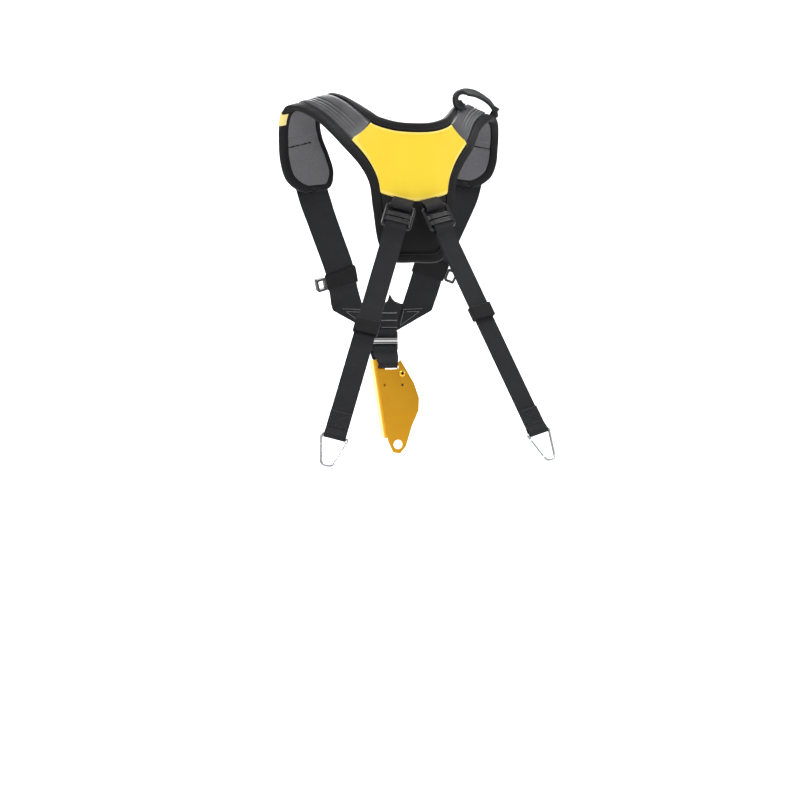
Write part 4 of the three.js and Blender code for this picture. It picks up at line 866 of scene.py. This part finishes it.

# The slider: a pressed steel frame with three bars, polished, on the chest strap. Its middle bar is rolled
# with a groove above and below; the grooves are painted in as shade, the bar's crest as a painted highlight,
# and the rest of the frame is painted dark as shade.
steel = shader("polished_steel", (0.46, 0.47, 0.49), 0.22, metallic=1.0)
tree = steel.node_tree
dress(steel, roughness=ramp(tree, noise(tree, place_on(tree, "Object"), 300.0), [(0.3, 0.16), (0.7, 0.3)]))
slider_steel = shader("slider_steel_painted_light", (0.75, 0.75, 0.77), 0.28, metallic=0.6)
tree = slider_steel.node_tree
height = node(tree, "ShaderNodeSeparateXYZ", Vector=place_on(tree, "Object")).outputs["Z"]
offset = maths(tree, "ABSOLUTE", maths(tree, "SUBTRACT", height, SLIDER_UP * MM))
# Colour by share of five millimetres from the slider's middle: a painted highlight along the middle bar,
# painted shade in the grooves beside it and over the rest of the frame
PER_FIVE_MM = 200.0
GROOVE_SHADE_AND_HIGHLIGHT = [(0.26, 0.85), (0.31, 0.03), (0.5, 0.03), (0.55, 0.5), (0.68, 0.5), (0.76, 0.04)]
dress(slider_steel, ramp(tree, maths(tree, "MULTIPLY", offset, PER_FIVE_MM), GROOVE_SHADE_AND_HIGHLIGHT))
finish_cad("slider", slider_steel, 0.6)

# The rope clamp: a plate of gold anodised aluminium whose left edge is folded into the rope channel,
# with the cam, its axle and the catch on its front face.
gold = shader("gold_aluminium", (0.80, 0.40, 0.03), 0.32, metallic=1.0)
tree = gold.node_tree
grain = node(tree, "ShaderNodeMapping", Vector=place_on(tree, "Object"), Scale=(1.0, 1.0, 0.06))
brushed = noise(tree, grain.outputs["Vector"], 900.0, 2.0)
GOLD_TONES = [(0.3, (0.79, 0.38, 0.024)), (0.7, (0.82, 0.41, 0.03))]
dress(gold, ramp(tree, noise(tree, place_on(tree, "Object"), 30.0), GOLD_TONES),
      ramp(tree, brushed, [(0.3, 0.30), (0.7, 0.36)]))
finish_cad("clamp_body", gold, 0.9, angle=40.0)
cam_steel = shader("cast_steel", (0.10, 0.10, 0.105), 0.45, metallic=1.0)
tree = cam_steel.node_tree
dress(cam_steel, height=noise(tree, place_on(tree, "Object"), 700.0), strength=0.2, depth=0.0003)
finish_cad("clamp_cam", cam_steel, 0.6)
rivet_gold = shader("rivet_gold", (0.80, 0.40, 0.03), 0.3, metallic=1.0)
tree = rivet_gold.node_tree
axle = (-RIVET_SIDE * MM, 0.0, -RIVET_UP * MM)
flat = node(tree, "ShaderNodeMapping", Vector=place_on(tree, "Object"), Location=axle).outputs["Vector"]
disc = node(tree, "ShaderNodeVectorMath", i0=flat, i1=(1.0, 0.0, 1.0))
disc.operation = "MULTIPLY"
length = node(tree, "ShaderNodeVectorMath", i0=disc.outputs["Vector"])
length.operation = "LENGTH"
# Painted shade: the middle of the rivet's head, within 1.5 mm of the axle, is painted near black.
dress(rivet_gold, ramp(tree, maths(tree, "MULTIPLY", length.outputs["Value"], PER_FIVE_MM),
                       [(0.3, (0.01, 0.008, 0.004)), (0.36, (0.80, 0.45, 0.06))]))
finish_cad("clamp_rivet", rivet_gold, 0.3, angle=50.0)
black_steel = shader("black_steel", (0.006, 0.006, 0.007), 0.2, Specular_IOR_Level=0.5)
tree = black_steel.node_tree
polish = noise(tree, place_on(tree, "Object"), 200.0)
dress(black_steel, roughness=ramp(tree, polish, [(0.3, 0.16), (0.7, 0.28)]))
finish_cad("clamp_catch", black_steel, 0.5)

# The rear straps: 25 mm webbing from the buckles down past the hips. Each free tail lies on its strap
# under an elastic keeper, and each end is turned up round a wire link and box stitched.
REAR_TOP, REAR_FOOT, REAR_TURN, REAR_WIDTH = (23.5, -105.0, -141.0), (117.5, -188.0, -391.0), 11.0, 25.0
BUCKLE_WIDTH, BUCKLE_HEIGHT, BUCKLE_THICKNESS, BUCKLE_BAR, EYE_RETURN = 37.0, 31.0, 3.0, 4.2, 29.0
LINK_WIRE, GATE_WIRE, LINK_WIDTH, LINK_FOOT, LINK_HEIGHT = 3.5, 2.6, 31.0, 12.0, 35.0
KEEPER_HEIGHT, BUCKLE_STRAP_TOP = 17.0, 26.0
buckle_level = BUCKLE_THICKNESS / 2 + 2 * GAP + 1.5 * WEBBING - 0.8
buckle_step = (BUCKLE_HEIGHT - BUCKLE_BAR) / 2
bar_turn = math.hypot(BUCKLE_BAR, BUCKLE_THICKNESS) / 2 + GAP + WEBBING / 2
tail_level = WEBBING + GAP
wire_turn = LINK_WIRE / 2 + GAP + WEBBING / 2
wire_level = tail_level / 2
# The tail's way over the buckle's lower bar and under its two ridged bars
TAIL_OVER_BUCKLE = [(buckle_step + 8, tail_level + 1), (buckle_step + 3, 5.8), (buckle_step, 6.6),
                    (buckle_step - 4, 6.1), (4, 4.9), (-2, 4.2)]
# The round bar hidden in the strap's fold: place, level and radius
FOLD_PLACE, FOLD_LEVEL, FOLD_RADIUS = -4.5, 2.6, 1.1


def squared(value):
    """A sine or cosine, swollen for a bar's squarish section"""
    return math.copysign(abs(value) ** 0.7, value)


BUCKLE_SECTION = [(squared(math.cos(a)) * BUCKLE_BAR / 2, squared(math.sin(a)) * BUCKLE_THICKNESS / 2)
                  for a in (2 * math.pi * k / 16 for k in range(16))]
# The ridged bars: place along the buckle and lift
RIDGED_BARS = [(-1.0, 7.0), (6.0, 7.7)]
BAR_HALF, BAR_SHOULDER = 2.7, 3.6


def turn_round(t, n, radius, first, last, steps=6):
    angles = [math.radians(lerp(first, last, i / steps)) for i in range(steps + 1)]
    return [(t + radius * math.cos(a), n + radius * math.sin(a)) for a in angles]


def rear_frame(hand):
    top = np.array([hand * REAR_TOP[0], REAR_TOP[1], REAR_TOP[2]])
    foot = np.array([hand * REAR_FOOT[0], REAR_FOOT[1], REAR_FOOT[2]])
    along = unit(foot - top)
    turn = math.radians(REAR_TURN)
    across = np.array([math.cos(turn), hand * math.sin(turn), 0.0])
    across = unit(across - along * np.dot(across, along))
    return top, along, across, np.cross(along, across), math.dist(top, foot)


def route_stations(route, step=1.2):
    """Even places along a route of t and n pairs, with long runs kept straight"""
    places = []
    for i in range(len(route) - 1):
        (t0, n0), (t1, n1) = route[i], route[i + 1]
        count = max(int(math.hypot(t1 - t0, n1 - n0) // 4), 1)
        places += [(lerp(t0, t1, k / count), lerp(n0, n1, k / count)) for k in range(count)]
    places.append(route[-1])
    curve = Spline([(t, n, 0.0) for t, n in places])
    shares = spread(0, 1, 1 / (3 * (len(places) - 1)))
    return [(curve.at(s), curve.tangent(s)) for s in shares]


for name, hand, keeper_place in (("left", -1, 148.0), ("right", 1, 129.0)):
    top, along, across, normal, eye = rear_frame(hand)

    def place(x, t, n):
        return top + across * x + along * t + normal * n

    def rear_webbing(route, width, skin):
        rings = []
        for (t, n, _), (dt, dn, _) in route_stations(route):
            outward = unit(np.cross(across, along * dt + normal * dn))
            rings.append(band_ring(place(0, t, n), across, outward, width, WEBBING))
        skin.rings(rings)

    strap_skin = Skin()
    rear_webbing([(keeper_place, tail_level), (buckle_step + 16, tail_level), *TAIL_OVER_BUCKLE,
                  *turn_round(FOLD_PLACE, tail_level, tail_level, 90, 270), (0, 0), (buckle_step, 0),
                  (buckle_step + 20, 0), (keeper_place, 0), (eye - 9, 0),
                  *turn_round(eye, wire_level, wire_turn, -115, 115), (eye - 9, tail_level),
                  (eye - EYE_RETURN, tail_level)], REAR_WIDTH, strap_skin)
    box = REAR_WIDTH / 2 - 2.4
    low, high = eye - EYE_RETURN + 2.5, eye - 11.5
    surface = tail_level + WEBBING / 2 * BAND_FLAT
    corners = [(-box, low), (box, low), (box, high), (-box, high), (-box, low), (box, high), (box, low),
               (-box, high)]
    for (x0, t0), (x1, t1) in zip(corners, corners[1:]):
        line = [place(lerp(x0, x1, s), lerp(t0, t1, s), surface) for s in spread(0, 1, 0.05)]
        strap_skin.seam(line, [normal] * len(line), radius=0.28, pitch=2.6, length=1.9)
    for t in (eye - EYE_RETURN + 1.2, eye - 10.3):
        bar_tack(strap_skin, place(-box, t, surface), place(box, t, surface), normal, width=1.5, pitch=0.8,
                 paint=2)
    strap_skin.piece("rear_webbing_" + name, [webbing, black_thread, black_thread], "harness", "webbing",
                     "rear_strap_" + name)

    mount_skin = Skin()
    rear_webbing([(-BUCKLE_STRAP_TOP, -1.4), (-buckle_step - 6, -0.2),
                  *turn_round(-buckle_step, buckle_level, bar_turn, -100, 100), (-buckle_step - 6, 5.6),
                  (-BUCKLE_STRAP_TOP, 1.0)], REAR_WIDTH, mount_skin)
    mount_skin.piece("buckle_webbing_" + name, [webbing], "harness", "webbing", "buckle_strap_" + name)

    stations = [(place(0, keeper_place + share * KEEPER_HEIGHT, tail_level / 2), across, normal, REAR_WIDTH,
                 2 * WEBBING + GAP) for share in spread(-0.75, 0.25, 1 / 16)]
    keeper_skin = Skin()
    keeper_skin.rings(sleeve_rings(stations, ELASTIC, WIDE_GAP), caps=False)
    keeper_skin.piece("rear_keeper_" + name, [elastic], "harness", "elastic", "tail_keeper_" + name)

    # The buckle: a forged frame of black steel, held by the webbing folded round its upper bar. Two
    # ridged bars across it press on the strap's tail.
    arm, corner = (BUCKLE_WIDTH - BUCKLE_BAR) / 2, 2.6
    buckle_skin = Skin()
    rings = []
    for quarter, (right, down) in enumerate(((1, 1), (-1, 1), (-1, -1), (1, -1))):
        for degrees in spread(90 * quarter, 90 * quarter + 90, 15):
            out_x, out_t = math.cos(math.radians(degrees)), math.sin(math.radians(degrees))
            x = right * (arm - corner) + corner * out_x
            t = down * (buckle_step - corner) + corner * out_t
            rings.append([place(x + wide * out_x, t + wide * out_t, buckle_level + high)
                          for wide, high in BUCKLE_SECTION])
    buckle_skin.rings(rings + rings[:1], caps=False)
    ends = (arm, arm - 1.2, arm - 2.4, arm - BAR_SHOULDER, 8)
    ridges = [(s * BAR_HALF, 0.75 + 0.35 * math.cos(s * 3 * math.pi)) for s in spread(-1, 1, 0.125)]
    section = ridges + [(BAR_HALF, -0.9), (-BAR_HALF, -0.9)]
    for middle, lift in RIDGED_BARS:
        rings = []
        for x in [*(-x for x in ends), 0, *reversed(ends)]:
            level = lerp(buckle_level, lift, min(max((arm - abs(x)) / BAR_SHOULDER, 0), 1))
            rings.append([place(x, middle + t, level + n) for t, n in section])
        buckle_skin.rings(rings)
    fold_bar = [place(x, FOLD_PLACE, FOLD_LEVEL) for x in (-arm, arm)]
    buckle_skin.tube(fold_bar, FOLD_RADIUS, sides=12)
    buckle_skin.piece("buckle_frame_" + name, [black_steel], "harness", "black_steel", "buckle_" + name)

    # The wire link: steel wire bent through the strap's eye to a tapered loop. Its inner side is open,
    # and a sprung gate of thinner wire closes it.
    inner, half, corner = -hand, LINK_WIDTH / 2, 3.5

    def side_at(t):
        return lerp(half, LINK_FOOT / 2, t / LINK_HEIGHT)

    foot_x = LINK_FOOT / 2
    route = [(inner * side_at(6), 6), (inner * side_at(corner), corner), (inner * (half - 1.2), 1.1),
             (inner * (half - corner), 0), (-inner * (half - corner), 0), (-inner * (half - 1.2), 1.1),
             (-inner * side_at(corner), corner),
             (-inner * side_at(LINK_HEIGHT - corner), LINK_HEIGHT - corner),
             (-inner * (side_at(LINK_HEIGHT) - 0.6), LINK_HEIGHT - 1), (-inner * (foot_x - 2.6), LINK_HEIGHT),
             (inner * (foot_x - 2.6), LINK_HEIGHT), (inner * (side_at(LINK_HEIGHT) - 0.6), LINK_HEIGHT - 1),
             (inner * side_at(LINK_HEIGHT - 5), LINK_HEIGHT - 5)]
    link_skin = Skin()
    wire = [place(p[0], eye + p[1], wire_level) for p, _ in route_stations(route)]
    link_skin.tube(wire, LINK_WIRE / 2, sides=16)
    link_skin.piece("link_" + name, [steel], "harness", "steel", "wire_link_" + name)

    start, end = (inner * side_at(6.9), 6.9), (inner * side_at(LINK_HEIGHT - 5.9), LINK_HEIGHT - 5.9)
    shares = [0, 0.01, 0.03, 0.06, 0.1, 0.5, 0.9, 0.94, 0.97, 0.99, 1]
    thickness = [GATE_WIRE / 2 * k for k in (0.55, 0.8, 1, 1, 1, 1, 1, 1, 1, 0.8, 0.55)]
    gate = [place(lerp(start[0], end[0], s), eye + lerp(start[1], end[1], s), wire_level) for s in shares]
    gate_skin = Skin()
    gate_skin.tube(gate, thickness, sides=16)
    gate_skin.piece("gate_" + name, [steel], "gate_" + name, "steel", "link_gate_" + name)
